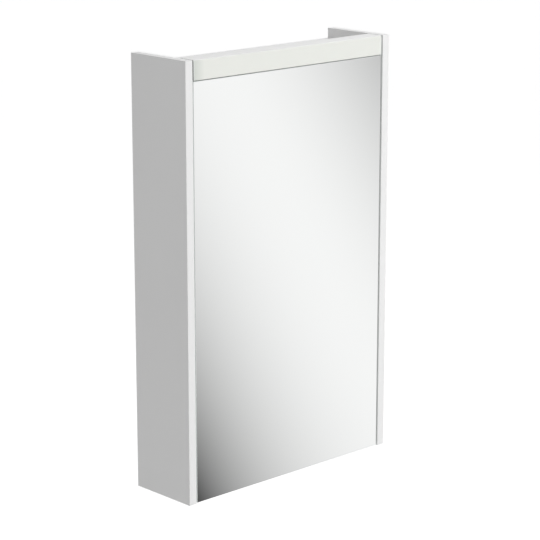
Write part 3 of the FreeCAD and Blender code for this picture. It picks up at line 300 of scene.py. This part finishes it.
# Finishes of the mirror and the glass shelves
SILVER = (0.93, 0.938, 0.932)
GLASS_EDGE = (0.72, 0.80, 0.76)
GROUND_BEVEL = (0.84, 0.87, 0.855)
MIRROR_FACE = (0.85, 0.95)
MIRROR_BEVEL = (0.3, 0.6)
SHELF_FACE = (0.6, 0.9)
SHELF_CLEAR = (0.955, 0.985, 0.972)
SHELF_EDGE_DARK = (0.42, 0.68, 0.60)
SHELF_EDGE_PALE = (0.50, 0.76, 0.68)


def silvered_mirror():
    """Bright silver, with pale green polished edges and a matt ground bevel"""
    finish = Finish("silvered mirror")
    ahead = abs(finish.along(finish.facing(), BACK))
    face = ahead.rise(*MIRROR_FACE)
    bevel = ahead.rise(*MIRROR_BEVEL)
    film = finish.noise(14, detail=4, roughness=0.6)
    silver = finish.shades(film, SILVER, 0.994, 1.0)
    edge = finish.mix(bevel, GLASS_EDGE, GROUND_BEVEL)
    finish.feed("Base Color", finish.mix(face, edge, silver))
    finish.feed("Metallic", face)
    finish.feed("Roughness", 0.012 + 0.01 * film + (0.12 + 0.4 * bevel) * (1 - face))
    return finish


def shelf_glass():
    """Clear float glass whose ground edges look green"""
    finish = Finish("clear float glass", Transmission_Weight=1.0, IOR=1.52)
    flat = abs(finish.along(finish.facing(), UP)).rise(*SHELF_FACE)
    tint = finish.mix(finish.noise(30), SHELF_EDGE_DARK, SHELF_EDGE_PALE)
    finish.feed("Base Color", finish.mix(flat, tint, SHELF_CLEAR))
    finish.feed("Roughness", 0.14 - 0.13 * flat)
    return finish


# Finishes of the light
OPAL = (0.80, 0.812, 0.768)
OPAL_TOP = (0.80, 0.80, 0.795)
# Painted light: paler tone of the diffuser's underside, which looks into the dark gap above the
# door
OPAL_UNDER_PAINTED_LIGHT = (0.88, 0.885, 0.875)
# Painted shade: darker, greener tone of the diffuser's left end, which lies in the side panel's
# shadow, and the length it fades over
OPAL_END_PAINTED_SHADE = (0.632, 0.6642, 0.6221)
OPAL_END_SHADE_LENGTH = 21 * MM
ALUMINIUM_DARK = grey(0.66)
ALUMINIUM_PALE = grey(0.8)
CHIP_PITCH = 17 * MM
CHIP_FRAME = grey(0.86)
WINDOW_HALF_WIDTH = 1.225 * MM
WINDOW_HALF_HEIGHT = 0.925 * MM
WINDOW_SOFT = 0.075 * MM
PHOSPHOR_DARK = (0.80, 0.62, 0.16)
PHOSPHOR_PALE = (0.90, 0.74, 0.28)
SOLDER_MASK = (0.86, 0.86, 0.84)
MASK_ON_COPPER = (0.74, 0.76, 0.70)
STRIP_OFF = 3.4 * MM
STRIP_HALF = 0.8 * MM
PAD_TIN = (0.72, 0.71, 0.69)
PAD_OFF = 2.3 * MM
PAD_HALF_WIDTH = 0.6 * MM
PAD_HALF_HEIGHT = 1.2 * MM
PRINT_SOFT = 0.1 * MM


def opal_acrylic():
    """Milky acrylic, a little green to the front and neutral grey-white on top, with painted shade
    darkening its left end, which lies in the side panel's shadow, and painted light making its
    underside paler
    """
    low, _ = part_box("light_diffuser")
    finish = Finish("opal acrylic", Coat_Weight=0.15, Coat_Roughness=0.2)
    upward = finish.along(finish.facing(), UP)
    from_end = (finish.along(finish.place(), RIGHT) - low.x) / OPAL_END_SHADE_LENGTH
    milk = finish.noise(22, detail=3)
    colour = finish.shades(milk, OPAL, 0.99, 1.01)
    # Painted shade on the left end of the diffuser, fading out towards the right
    colour = finish.mix(1 - from_end.or_less(1), colour, OPAL_END_PAINTED_SHADE)
    colour = finish.mix(upward.rise(TURN_FROM, TURN_TO), colour, OPAL_TOP)
    # Painted light on the faces turned down, making the gap under the light less dark
    colour = finish.mix(upward.rise(-TURN_FROM, -TURN_TO), colour, OPAL_UNDER_PAINTED_LIGHT)
    finish.feed("Base Color", colour)
    finish.feed("Roughness", 0.3 + 0.06 * milk)
    finish.feed("Normal", finish.bump(finish.noise(700), depth_mm=0.01, strength=0.3))
    return finish


def drawn_aluminium():
    """Anodised aluminium with fine drawing lines along the profile"""
    finish = Finish("drawn aluminium", Metallic=1.0)
    lines = finish.noise(900, detail=3, roughness=0.6, stretch=(60, 1, 1))
    finish.feed("Base Color", finish.mix(lines, ALUMINIUM_DARK, ALUMINIUM_PALE))
    finish.feed("Roughness", 0.3 + 0.16 * lines)
    finish.feed("Normal", finish.bump(lines, depth_mm=0.02, strength=0.4))
    return finish


def from_chip(finish):
    """Distance from the nearest chip's middle, along the light and up"""
    low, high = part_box("led_chips")
    middle = (low + high) / 2
    x, _, z = finish.split(finish.place())
    return abs((x - middle.x).wrap(CHIP_PITCH)), abs(z - middle.z)


def circuit_board():
    """White solder mask over two long copper strips, with bright pads beside each chip"""
    finish = Finish("white circuit board")
    sideways, up = from_chip(finish)
    strips = abs(up - STRIP_OFF).within(STRIP_HALF, PRINT_SOFT)
    pads = abs(sideways - PAD_OFF).within(PAD_HALF_WIDTH, PRINT_SOFT)
    pads = pads * up.within(PAD_HALF_HEIGHT, PRINT_SOFT)
    mask = finish.mix(strips * 0.5, SOLDER_MASK, MASK_ON_COPPER)
    finish.feed("Base Color", finish.mix(pads, mask, PAD_TIN))
    finish.feed("Metallic", pads)
    finish.feed("Roughness", 0.42 - 0.12 * pads + 0.06 * finish.noise(500))
    finish.feed("Normal", finish.bump(strips + pads, depth_mm=0.03, strength=0.5))
    return finish


def light_chip():
    """White chip frame round a window of yellow phosphor"""
    finish = Finish("light chip")
    sideways, up = from_chip(finish)
    window = sideways.within(WINDOW_HALF_WIDTH, WINDOW_SOFT)
    window = window * up.within(WINDOW_HALF_HEIGHT, WINDOW_SOFT)
    phosphor = finish.mix(finish.noise(2500), PHOSPHOR_DARK, PHOSPHOR_PALE)
    finish.feed("Base Color", finish.mix(window, CHIP_FRAME, phosphor))
    finish.feed("Roughness", 0.35 + 0.2 * window)
    return finish


# Finishes of the fittings
NICKEL = (0.74, 0.715, 0.68)
BRIGHT_STEEL = grey(0.74)
ZINC_DARK = (0.58, 0.59, 0.60)
ZINC_PALE = (0.72, 0.73, 0.74)
BEECH_DARK = (0.60, 0.40, 0.23)
BEECH_PALE = (0.76, 0.57, 0.37)
BEECH_FLECK = (0.40, 0.24, 0.13)
BUMPER_DARK = (0.80, 0.83, 0.85)
BUMPER_PALE = (0.90, 0.92, 0.93)
CAP_PALE = (0.70, 0.72, 0.705)
# Painted shade: near-black on the caps' faces turned left, standing in for the shadow in the gap
# at the light's left end
CAP_PAINTED_SHADE = (0.03, 0.031, 0.03)
CAP_SHADE_TURN = (0.7, 0.9)
DRIVER_GREY = (0.76, 0.765, 0.76)
SHELL_SEAM = 15.5 * MM
SHELL_SEAM_WIDTH = 0.5 * MM
SHELL_SEAM_SHARE = 0.7
SHELL_SEAM_TONE = shade(DRIVER_GREY, 0.4)
SHEATH_WHITE = (0.80, 0.80, 0.785)
SWITCH_WHITE = (0.81, 0.81, 0.805)
ROCKER_WHITE = (0.83, 0.83, 0.825)
CATCH_CREAM = (0.79, 0.785, 0.77)
GROMMET_BLACK = (0.03, 0.03, 0.032)
RUBBER_DUST = grey(0.18)
FERRITE_DARK = grey(0.035)
FERRITE_PALE = grey(0.075)
POLE_STEEL = grey(0.62)
POLE_PLATE = 1.35 * MM
POLE_SOFT = 0.05 * MM


def plated_steel(name, colour, gloss, lay):
    """Bright plating with faint wiping marks along one way and a little tarnish"""
    finish = Finish(name, Metallic=1.0)
    marks = finish.noise(1500, detail=3, roughness=0.6, stretch=lay)
    tarnish = finish.noise(70, detail=4, roughness=0.6)
    finish.feed("Base Color", finish.shades(tarnish, colour, 0.93, 1.04))
    finish.feed("Roughness", gloss + 0.1 * marks + 0.08 * tarnish)
    finish.feed("Normal", finish.bump(marks, depth_mm=0.01, strength=0.25))
    return finish


def cast_zinc():
    """Zinc die casting and zinc-plated screws: greyish, slightly grainy"""
    finish = Finish("zinc fitting", Metallic=1.0)
    grain = finish.noise(2200, detail=3, roughness=0.6)
    bloom = finish.noise(240, detail=3)
    finish.feed("Base Color", finish.mix(bloom, ZINC_DARK, ZINC_PALE))
    finish.feed("Roughness", 0.3 + 0.14 * bloom + 0.08 * grain)
    finish.feed("Normal", finish.bump(grain, depth_mm=0.02, strength=0.4))
    return finish


def beech():
    """Beech dowels with long grain and dark flecks"""
    finish = Finish("beech")
    grain = finish.noise(700, detail=4, roughness=0.6, stretch=(14, 1, 1))
    flecks = finish.noise(1900, stretch=(5, 1, 1)).rise(0.62, 0.7)
    wood = finish.mix(grain, BEECH_DARK, BEECH_PALE)
    finish.feed("Base Color", finish.mix(flecks * 0.5, wood, BEECH_FLECK))
    finish.feed("Roughness", 0.55 + 0.15 * grain)
    finish.feed("Normal", finish.bump(grain, depth_mm=0.05, strength=0.5))
    return finish


def soft_bumper():
    """Clear soft plastic, cloudy inside"""
    finish = Finish("clear bumper", Transmission_Weight=0.55, IOR=1.45)
    cloud = finish.noise(300, detail=3)
    finish.feed("Base Color", finish.mix(cloud, BUMPER_DARK, BUMPER_PALE))
    finish.feed("Roughness", 0.22 + 0.15 * cloud)
    return finish


def moulded_plastic(name, colour, gloss, texture):
    """Injection-moulded plastic with a spark-eroded texture"""
    finish = Finish(name)
    sparks = finish.noise(1700)
    flow = finish.noise(40, detail=3)
    finish.feed("Base Color", finish.shades(flow, colour, 0.975, 1.02))
    finish.feed("Roughness", gloss + 0.1 * sparks + 0.05 * flow)
    finish.feed("Normal", finish.bump(sparks, depth_mm=0.03, strength=texture))
    return finish


def end_cap():
    """Pale caps of the light; their faces that look left, such as the one in the gap at the left
    end, are painted near-black as painted shade of that gap
    """
    finish = moulded_plastic("end cap plastic", CAP_PALE, gloss=0.4, texture=0.3)
    # Painted shade on the faces turned left
    finish.mark(finish.along(finish.facing(), LEFT).rise(*CAP_SHADE_TURN), CAP_PAINTED_SHADE)
    return finish


def driver_shell():
    """Plastic of the driver, with the seam where its two shells meet"""
    finish = moulded_plastic("driver plastic", DRIVER_GREY, gloss=0.42, texture=0.5)
    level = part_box("driver_case")[0].z + SHELL_SEAM
    seam = finish.along(finish.place(), UP).line(level, SHELL_SEAM_WIDTH)
    finish.mark(seam * SHELL_SEAM_SHARE, SHELL_SEAM_TONE)
    return finish


def grommet_rubber():
    """Black rubber with a grain and a little dust"""
    finish = Finish("black grommet rubber")
    grain = finish.noise(1300, detail=3, roughness=0.6)
    dust = finish.noise(120, detail=3).rise(0.5, 0.8)
    finish.feed("Base Color", finish.mix(dust * 0.35, GROMMET_BLACK, RUBBER_DUST))
    finish.feed("Roughness", 0.55 + 0.2 * grain)
    finish.feed("Normal", finish.bump(grain, depth_mm=0.04, strength=0.5))
    return finish


def ferrite_magnet():
    """Dark ferrite between two bright steel pole plates"""
    low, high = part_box("catch_magnet")
    finish = Finish("ferrite magnet")
    half = (high.z - low.z) / 2
    off_middle = abs(finish.along(finish.place(), UP) - low.z - half)
    plates = 1 - off_middle.within(half - POLE_PLATE, POLE_SOFT)
    grain = finish.noise(1800, detail=3)
    ferrite = finish.mix(grain, FERRITE_DARK, FERRITE_PALE)
    finish.feed("Base Color", finish.mix(plates, ferrite, POLE_STEEL))
    finish.feed("Metallic", plates)
    finish.feed("Roughness", 0.6 - 0.28 * plates + 0.1 * grain)
    finish.feed("Normal", finish.bump(grain, depth_mm=0.03, strength=0.4))
    return finish


FINISHES = {
    "side_board": side_laminate(),
    "carcass_board": laminate("white carcass laminate"),
    "door_board": laminate("white door laminate"),
    "back_board": back_hardboard(),
    "mirror": silvered_mirror(),
    "shelf_glass": shelf_glass(),
    "opal": opal_acrylic(),
    "cap_plastic": end_cap(),
    "light_aluminium": drawn_aluminium(),
    "led_board": circuit_board(),
    "led_chip": light_chip(),
    "hinge_steel": plated_steel("nickel-plated hinge", NICKEL, gloss=0.2, lay=(1, 12, 1)),
    "pin_steel": plated_steel("bright steel pin", BRIGHT_STEEL, gloss=0.14, lay=(10, 1, 1)),
    "fitting_zinc": cast_zinc(),
    "beech": beech(),
    "bumper_rubber": soft_bumper(),
    "driver_plastic": driver_shell(),
    "lead_sheath": moulded_plastic("lead sheath", SHEATH_WHITE, gloss=0.34, texture=0.15),
    "grommet_rubber": grommet_rubber(),
    "switch_plastic": moulded_plastic("switch plastic", SWITCH_WHITE, gloss=0.36, texture=0.4),
    "rocker_plastic": moulded_plastic("rocker plastic", ROCKER_WHITE, gloss=0.22, texture=0.12),
    "catch_plastic": moulded_plastic("catch plastic", CATCH_CREAM, gloss=0.4, texture=0.4),
    "magnet": ferrite_magnet(),
}
for node in nodes.values():
    for number, worn in enumerate(node.data.materials):
        node.data.materials[number] = FINISHES[worn.name].material


# Pieces made from mesh code
WELD = 1e-6


def welded(node_name):
    """Mesh of a CAD node, with the doubled corners along its face edges joined"""
    mesh = bmesh.new()
    mesh.from_mesh(nodes[node_name].data)
    bmesh.ops.remove_doubles(mesh, verts=mesh.verts, dist=WELD)
    return mesh


def new_piece(name, made, finish):
    """Object of a finished mesh, with one finish, in the scene"""
    data = bpy.data.meshes.new(name)
    made.to_mesh(data)
    made.free()
    data.materials.append(finish.material)
    piece = bpy.data.objects.new(name, data)
    bpy.context.scene.collection.objects.link(piece)
    return piece


def replacement(kind, node_name, made, body, slot):
    """Piece that replaces a CAD node on its body"""
    piece = new_piece(kind + "_" + node_name, made, FINISHES[slot])
    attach(piece, body)
    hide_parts(node_name)
    return piece


# Screws: domed heads with a cross recess over a threaded shank, one for each plain screw of the
# model. Profile and cross are shares of the head's radius and height.
HEAD_SIDES = 28
HEAD_PROFILE = ((1.0, 0.0), (1.0, 0.3), (0.93, 0.66), (0.78, 0.9), (0.6, 1.0))
CROSS_ARM = 0.46
CROSS_HALF = 0.13
CROSS_FOOT = 0.62
CROSS_DEPTH = 0.72
THREAD_SIDES = 14
THREAD_PITCH = 1.3 * MM
THREAD_ROWS = 4
THREAD_DEPTH = 0.22
POINT_SLOPE = 3.0
POINT_BLUNT = 0.35
ON_RIM = 0.9
OFF_AXIS = 0.2
SCREW_NODES = {
    "hinge_plate_screws": "cabinet", "hinge_arm_screws": "cabinet", "catch_screws": "cabinet",
    "light_screws": "cabinet", "driver_screws": "cabinet", "switch_screws": "cabinet",
    "hinge_cup_screws": "door", "strike_screws": "door",
}


def separate_solids(node_name):
    """Corner lists of each solid in a node"""
    mesh = welded(node_name)
    solids = []
    sorted_out = set()
    for start in mesh.verts:
        if start in sorted_out:
            continue
        sorted_out.add(start)
        solid = [start]
        for corner in solid:
            for edge in corner.link_edges:
                beyond = edge.other_vert(corner)
                if beyond not in sorted_out:
                    sorted_out.add(beyond)
                    solid.append(beyond)
        solids.append([corner.co.copy() for corner in solid])
    mesh.free()
    return solids


def screw_place(corners):
    """Seat and way out of a screw, its head's radius and height, its shank's radius and length"""
    low = Vector(map(min, *corners))
    high = Vector(map(max, *corners))
    middle = (low + high) / 2
    extent = high - low

    def unlike(way):
        return min(abs(extent[way] - extent[other]) for other in range(3) if other != way)

    axis = max(range(3), key=unlike)
    out = Vector((0, 0, 0))
    out[axis] = 1.0

    def radius(corner):
        offset = corner - middle
        return (offset - out * offset.dot(out)).length

    radii = [radius(corner) for corner in corners]
    head_radius = max(radii)
    shank_radius = min(reach for reach in radii if reach > OFF_AXIS * head_radius)
    rim = [corner[axis] for corner, reach in zip(corners, radii) if reach > ON_RIM * head_radius]
    head_height = max(rim) - min(rim)
    if sum(rim) / len(rim) < middle[axis]:
        out = -out
    seat = middle.copy()
    seat[axis] = max(rim) if out[axis] < 0 else min(rim)
    return seat, out, head_radius, head_height, shank_radius, extent[axis] - head_height


def ring(mesh, radius, height, sides):
    """Corners of a level circle"""
    angles = [math.tau * side / sides for side in range(sides)]
    return [mesh.verts.new((radius * math.cos(angle), radius * math.sin(angle), height))
            for angle in angles]


def skin(mesh, lower, upper):
    """Quads between two rings of the same number of corners"""
    for side in range(len(lower)):
        after = (side + 1) % len(lower)
        mesh.faces.new((lower[side], lower[after], upper[after], upper[side]))


def fill_between(mesh, outer, inner):
    """Flat triangles between two closed rows of corners at one height"""
    edges = [mesh.edges.get(pair) or mesh.edges.new(pair)
             for corners in (outer, inner)
             for pair in zip(corners, corners[1:] + corners[:1])]
    bmesh.ops.triangle_fill(mesh, use_beauty=True, edges=edges)


def cross_outline(radius):
    """Corners round a cross recess"""
    arm = CROSS_ARM * radius
    half = CROSS_HALF * radius
    outline = []
    for turn in range(4):
        cosine = math.cos(turn * math.pi / 2)
        sine = math.sin(turn * math.pi / 2)
        outline += [(x * cosine - y * sine, x * sine + y * cosine)
                    for x, y in ((arm, -half), (arm, half), (half, half))]
    return outline


def add_head(mesh, radius, height):
    """Domed head on its seat, with a tapered cross recess in its crown; gives the seat's ring"""
    rings = [ring(mesh, wide * radius, high * height, HEAD_SIDES) for wide, high in HEAD_PROFILE]
    for lower, upper in zip(rings, rings[1:]):
        skin(mesh, lower, upper)
    outline = cross_outline(radius)
    mouth = [mesh.verts.new((x, y, height)) for x, y in outline]
    foot = [mesh.verts.new((CROSS_FOOT * x, CROSS_FOOT * y, height * (1 - CROSS_DEPTH)))
            for x, y in outline]
    skin(mesh, mouth, foot)
    mesh.faces.new(foot)
    fill_between(mesh, rings[-1], mouth)
    return rings[0]


def add_shank(mesh, seat_ring, radius, length):
    """Threaded shank below the seat, pointed at its end"""
    rows = max(THREAD_ROWS, round(length / THREAD_PITCH * THREAD_ROWS))
    above = ring(mesh, radius, 0.0, THREAD_SIDES)
    fill_between(mesh, seat_ring, above)
    for row in range(1, rows + 1):
        depth = length * row / rows
        taper = min(1.0, POINT_SLOPE * (1 - row / rows) + POINT_BLUNT)
        below = []
        for side in range(THREAD_SIDES):
            angle = math.tau * side / THREAD_SIDES
            phase = (depth / THREAD_PITCH + side / THREAD_SIDES) % 1.0
            groove = abs(2 * phase - 1)
            wide = radius * taper * (1 - THREAD_DEPTH * groove)
            corner = (wide * math.cos(angle), wide * math.sin(angle), -depth)
            below.append(mesh.verts.new(corner))
        skin(mesh, below, above)
        above = below
    mesh.faces.new(list(reversed(above)))


def threaded_screws(node_name, body):
    """Screws with head and thread in the place of each plain screw of a node"""
    made = bmesh.new()
    for corners in separate_solids(node_name):
        seat, out, head_radius, head_height, shank_radius, length = screw_place(corners)
        single = bmesh.new()
        seat_ring = add_head(single, head_radius, head_height)
        add_shank(single, seat_ring, shank_radius, length)
        bmesh.ops.recalc_face_normals(single, faces=single.faces)
        turn = out.to_track_quat("Z", "Y").to_matrix().to_4x4()
        bmesh.ops.transform(single, matrix=Matrix.Translation(seat) @ turn, verts=single.verts)
        data = bpy.data.meshes.new("screw")
        single.to_mesh(data)
        single.free()
        made.from_mesh(data)
        bpy.data.meshes.remove(data)
    replacement("threaded", node_name, made, body, "fitting_zinc")


for screw_node, carrier in SCREW_NODES.items():
    threaded_screws(screw_node, carrier)


# Driver: the lid of its case and inlet cover is crowned, flat along the middle and sloping to
# both long sides
CROWN_FLAT = 5.0 * MM
CROWN_SLOPE = 0.375
CROWN_REACH = 3.0 * MM
CUT_SNAP = 1e-7
SMOOTH_BELOW = math.radians(18)


def crowned_case(node_name, middle):
    """The shell of a node with the shoulders of its lid lowered; middle is the crown's line"""
    shell = welded(node_name)
    top = max(vert.co.z for vert in shell.verts)
    for side in (-1, 1):
        everything = shell.verts[:] + shell.edges[:] + shell.faces[:]
        cut_at = (0, middle + side * CROWN_FLAT, 0)
        bmesh.ops.bisect_plane(shell, geom=everything, plane_co=cut_at, plane_no=BACK,
                               dist=CUT_SNAP)
    for vert in shell.verts:
        if vert.co.z > top - CROWN_REACH:
            vert.co.z -= CROWN_SLOPE * max(0.0, abs(vert.co.y - middle) - CROWN_FLAT)
    for face in shell.faces:
        face.smooth = True
    piece = replacement("crowned", node_name, shell, "cabinet", "driver_plastic")
    piece.data.set_sharp_from_angle(angle=SMOOTH_BELOW)
    piece.modifiers.new("even shading", "WEIGHTED_NORMAL").keep_sharp = True


cover_low, cover_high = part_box("driver_inlet_cover")
for case_node in ("driver_case", "driver_inlet_cover"):
    crowned_case(case_node, (cover_low.y + cover_high.y) / 2)


# Stage: the floor lies as far below the cabinet as it would hang in a bathroom, and shows white
HANG_HEIGHT = 1.25
FLOOR_SIZE = 60.0
FLOOR_DARK = grey(0.88)
FLOOR_PALE = grey(0.9)
FLOOR_LIFT = 0.62
AMBIENT = grey(0.376)
BLACK = grey(0)
WHITE = grey(1)


def staged(name, made, finish):
    """Piece of the stage, which is not part of the cabinet"""
    piece = new_piece(name, made, finish)
    return piece


def pale_floor():
    """Wide pale sheet, lifted to white where it is seen"""
    finish = Finish("pale floor", Roughness=0.8, Emission_Strength=FLOOR_LIFT)
    finish.feed("Base Color", finish.mix(finish.noise(3, detail=3), FLOOR_DARK, FLOOR_PALE))
    finish.feed("Emission Color", finish.mix(finish.seen_directly(), BLACK, WHITE))
    sheet = bmesh.new()
    bmesh.ops.create_grid(sheet, size=FLOOR_SIZE / 2)
    floor = staged("floor", sheet, finish)
    floor.location.z = cad_box[0].z - HANG_HEIGHT


def surroundings():
    """White where they are seen, and a plain grey light on the object"""
    world = bpy.data.worlds.new("white surroundings")
    world.use_nodes = True
    bpy.context.scene.world = world
    sky = Shading(world.node_tree, "Background")
    sky.feed("Color", sky.mix(sky.seen_directly(), AMBIENT, WHITE))


# Graded dome that only reflections show: ahead of the mirror a bright slanting band, set out in
# the pixels where the photograph's view has it, and softer bands round that for other views
DOME_RADIUS = 8.0
DOME_HEIGHT = 1.5
DOME_DIVISIONS = 5
PICTURE_LENGTH = PICTURE_PX * LENS_MM / SENSOR_MM
NEAREST = 0.5
BAND_AT = Vector((314.7, 250.0))
BAND_TURN = -0.468
BAND_REACH = 200.0
BAND_PEAK = 0.981
BAND_FALL = ((0.648, 0.100), (0.841, -0.232))
BAND_FALL_END = 2.0
BAND_LOWEST = 0.10
MIRROR_AT = Vector((288.0, 278.0))
MIRROR_REACH = Vector((132.0, 320.0))
BESIDE_MIRROR = (1.05, 2.2)
FAR_LEVEL = 0.70
FAR_SWING = 0.24
FAR_PITCH = math.pi / 4
FAR_SLANT = 0.5
BEHIND_CABINET = (-0.2, 0.1)


def mirrored_view():
    """Camera place and axes as seen in the mirror face"""
    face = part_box("mirror_glass")[0].y
    turn = (CAMERA_AIM - CAMERA_AT).to_track_quat("-Z", "Y").to_matrix()
    flip = Matrix.Diagonal((1, -1, 1))
    place = CAMERA_AT.copy()
    place.y = 2 * face - place.y
    return place, [flip @ turn.col[axis] for axis in range(3)]


def mirrored_pixel(finish, middle):
    """Pixels across and down at which the mirror shows a place on the dome"""
    eye, (right, up, back) = mirrored_view()
    seen = finish.vector("SUBTRACT", finish.place(), eye - middle)
    depth = finish.along(seen, -back).or_more(NEAREST)
    across = PICTURE_PX / 2 + finish.along(seen, right) / depth * PICTURE_LENGTH
    down = PICTURE_PX / 2 - finish.along(seen, up) / depth * PICTURE_LENGTH
    return across, down


def bright_band(across, down):
    """Level of the band ahead of the mirror, falling to both sides of its line"""
    off = ((across - BAND_AT.x) * math.cos(BAND_TURN)
           + (down - BAND_AT.y) * math.sin(BAND_TURN)) / BAND_REACH
    level = BAND_PEAK
    for side, (near, far) in zip((-1, 1), BAND_FALL):
        square = (off * side).or_more(0)
        square = (square * square).or_less(BAND_FALL_END)
        level = level - near * square - far * square * square
    return level.or_more(BAND_LOWEST)


def far_bands(x, y, z):
    """Level of the softer bands, by the way to a place on the dome"""
    slanting = x.bearing(0 - y) + FAR_SLANT * z
    return FAR_LEVEL + FAR_SWING * (slanting * (math.tau / FAR_PITCH)).sine()


def reflection_dome():
    """Flattened dome round the cabinet, white behind it"""
    low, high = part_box("mirror_glass")
    middle = (low + high) / 2
    finish = Finish("graded dome", Emission_Strength=1.0, Specular_IOR_Level=0.0,
                    Base_Color=BLACK)
    across, down = mirrored_pixel(finish, middle)
    x, y, z = finish.split(finish.vector("NORMALIZE", finish.place()))
    sideways = (across - MIRROR_AT.x) / MIRROR_REACH.x
    upright = (down - MIRROR_AT.y) / MIRROR_REACH.y
    beside = (sideways * sideways + upright * upright).rise(*BESIDE_MIRROR)
    band = bright_band(across, down)
    level = band + beside * (far_bands(x, y, z) - band)
    level = level + y.rise(*BEHIND_CABINET) * (1 - level)
    finish.feed("Emission Color", finish.mix(level, BLACK, WHITE))
    shell = bmesh.new()
    bmesh.ops.create_icosphere(shell, subdivisions=DOME_DIVISIONS, radius=1.0)
    bmesh.ops.scale(shell, vec=(DOME_RADIUS, DOME_RADIUS, DOME_HEIGHT), verts=shell.verts)
    dome = staged("reflection_dome", shell, finish)
    dome.location = middle
    dome.visible_camera = False
    dome.visible_diffuse = False
    dome.visible_transmission = False
    dome.visible_shadow = False


# Soft lamps, aimed at the cabinet's middle: place, width, height and watts
CABINET_MIDDLE = Vector((0.0, -0.1, -0.28))
LAMPS = {
    "front_softbox": ((1.05, -2.7, 0.0), 2.0, 2.6, 40),
    "left_fill": ((-2.4, -2.6, 0.7), 2.0, 2.0, 16),
    "top_softbox": ((1.0, -0.4, 2.0), 2.0, 2.0, 25.5),
}


def aimed(held, place, aim):
    """Puts a lamp or the camera in its place, looking at a point"""
    held.location = place
    held.rotation_euler = (aim - Vector(place)).to_track_quat("-Z", "Y").to_euler()
    bpy.context.scene.collection.objects.link(held)


def soft_light(name, place, wide, high, watts):
    """Large lamp that itself shows in no reflection"""
    lamp = bpy.data.lights.new(name, "AREA")
    lamp.shape = "RECTANGLE"
    lamp.size = wide
    lamp.size_y = high
    lamp.energy = watts
    holder = bpy.data.objects.new(name, lamp)
    holder.visible_glossy = False
    aimed(holder, place, CABINET_MIDDLE)


pale_floor()
reflection_dome()
surroundings()
for lamp_name, (lamp_place, lamp_width, lamp_height, lamp_watts) in LAMPS.items():
    soft_light(lamp_name, lamp_place, lamp_width, lamp_height, lamp_watts)

# Camera at the photograph's view
lens = bpy.data.cameras.new("camera")
lens.lens = LENS_MM
lens.sensor_width = SENSOR_MM
camera = bpy.data.objects.new("camera", lens)
aimed(camera, CAMERA_AT, CAMERA_AIM)
bpy.context.scene.camera = camera
bpy.context.scene.view_settings.view_transform = "Standard"
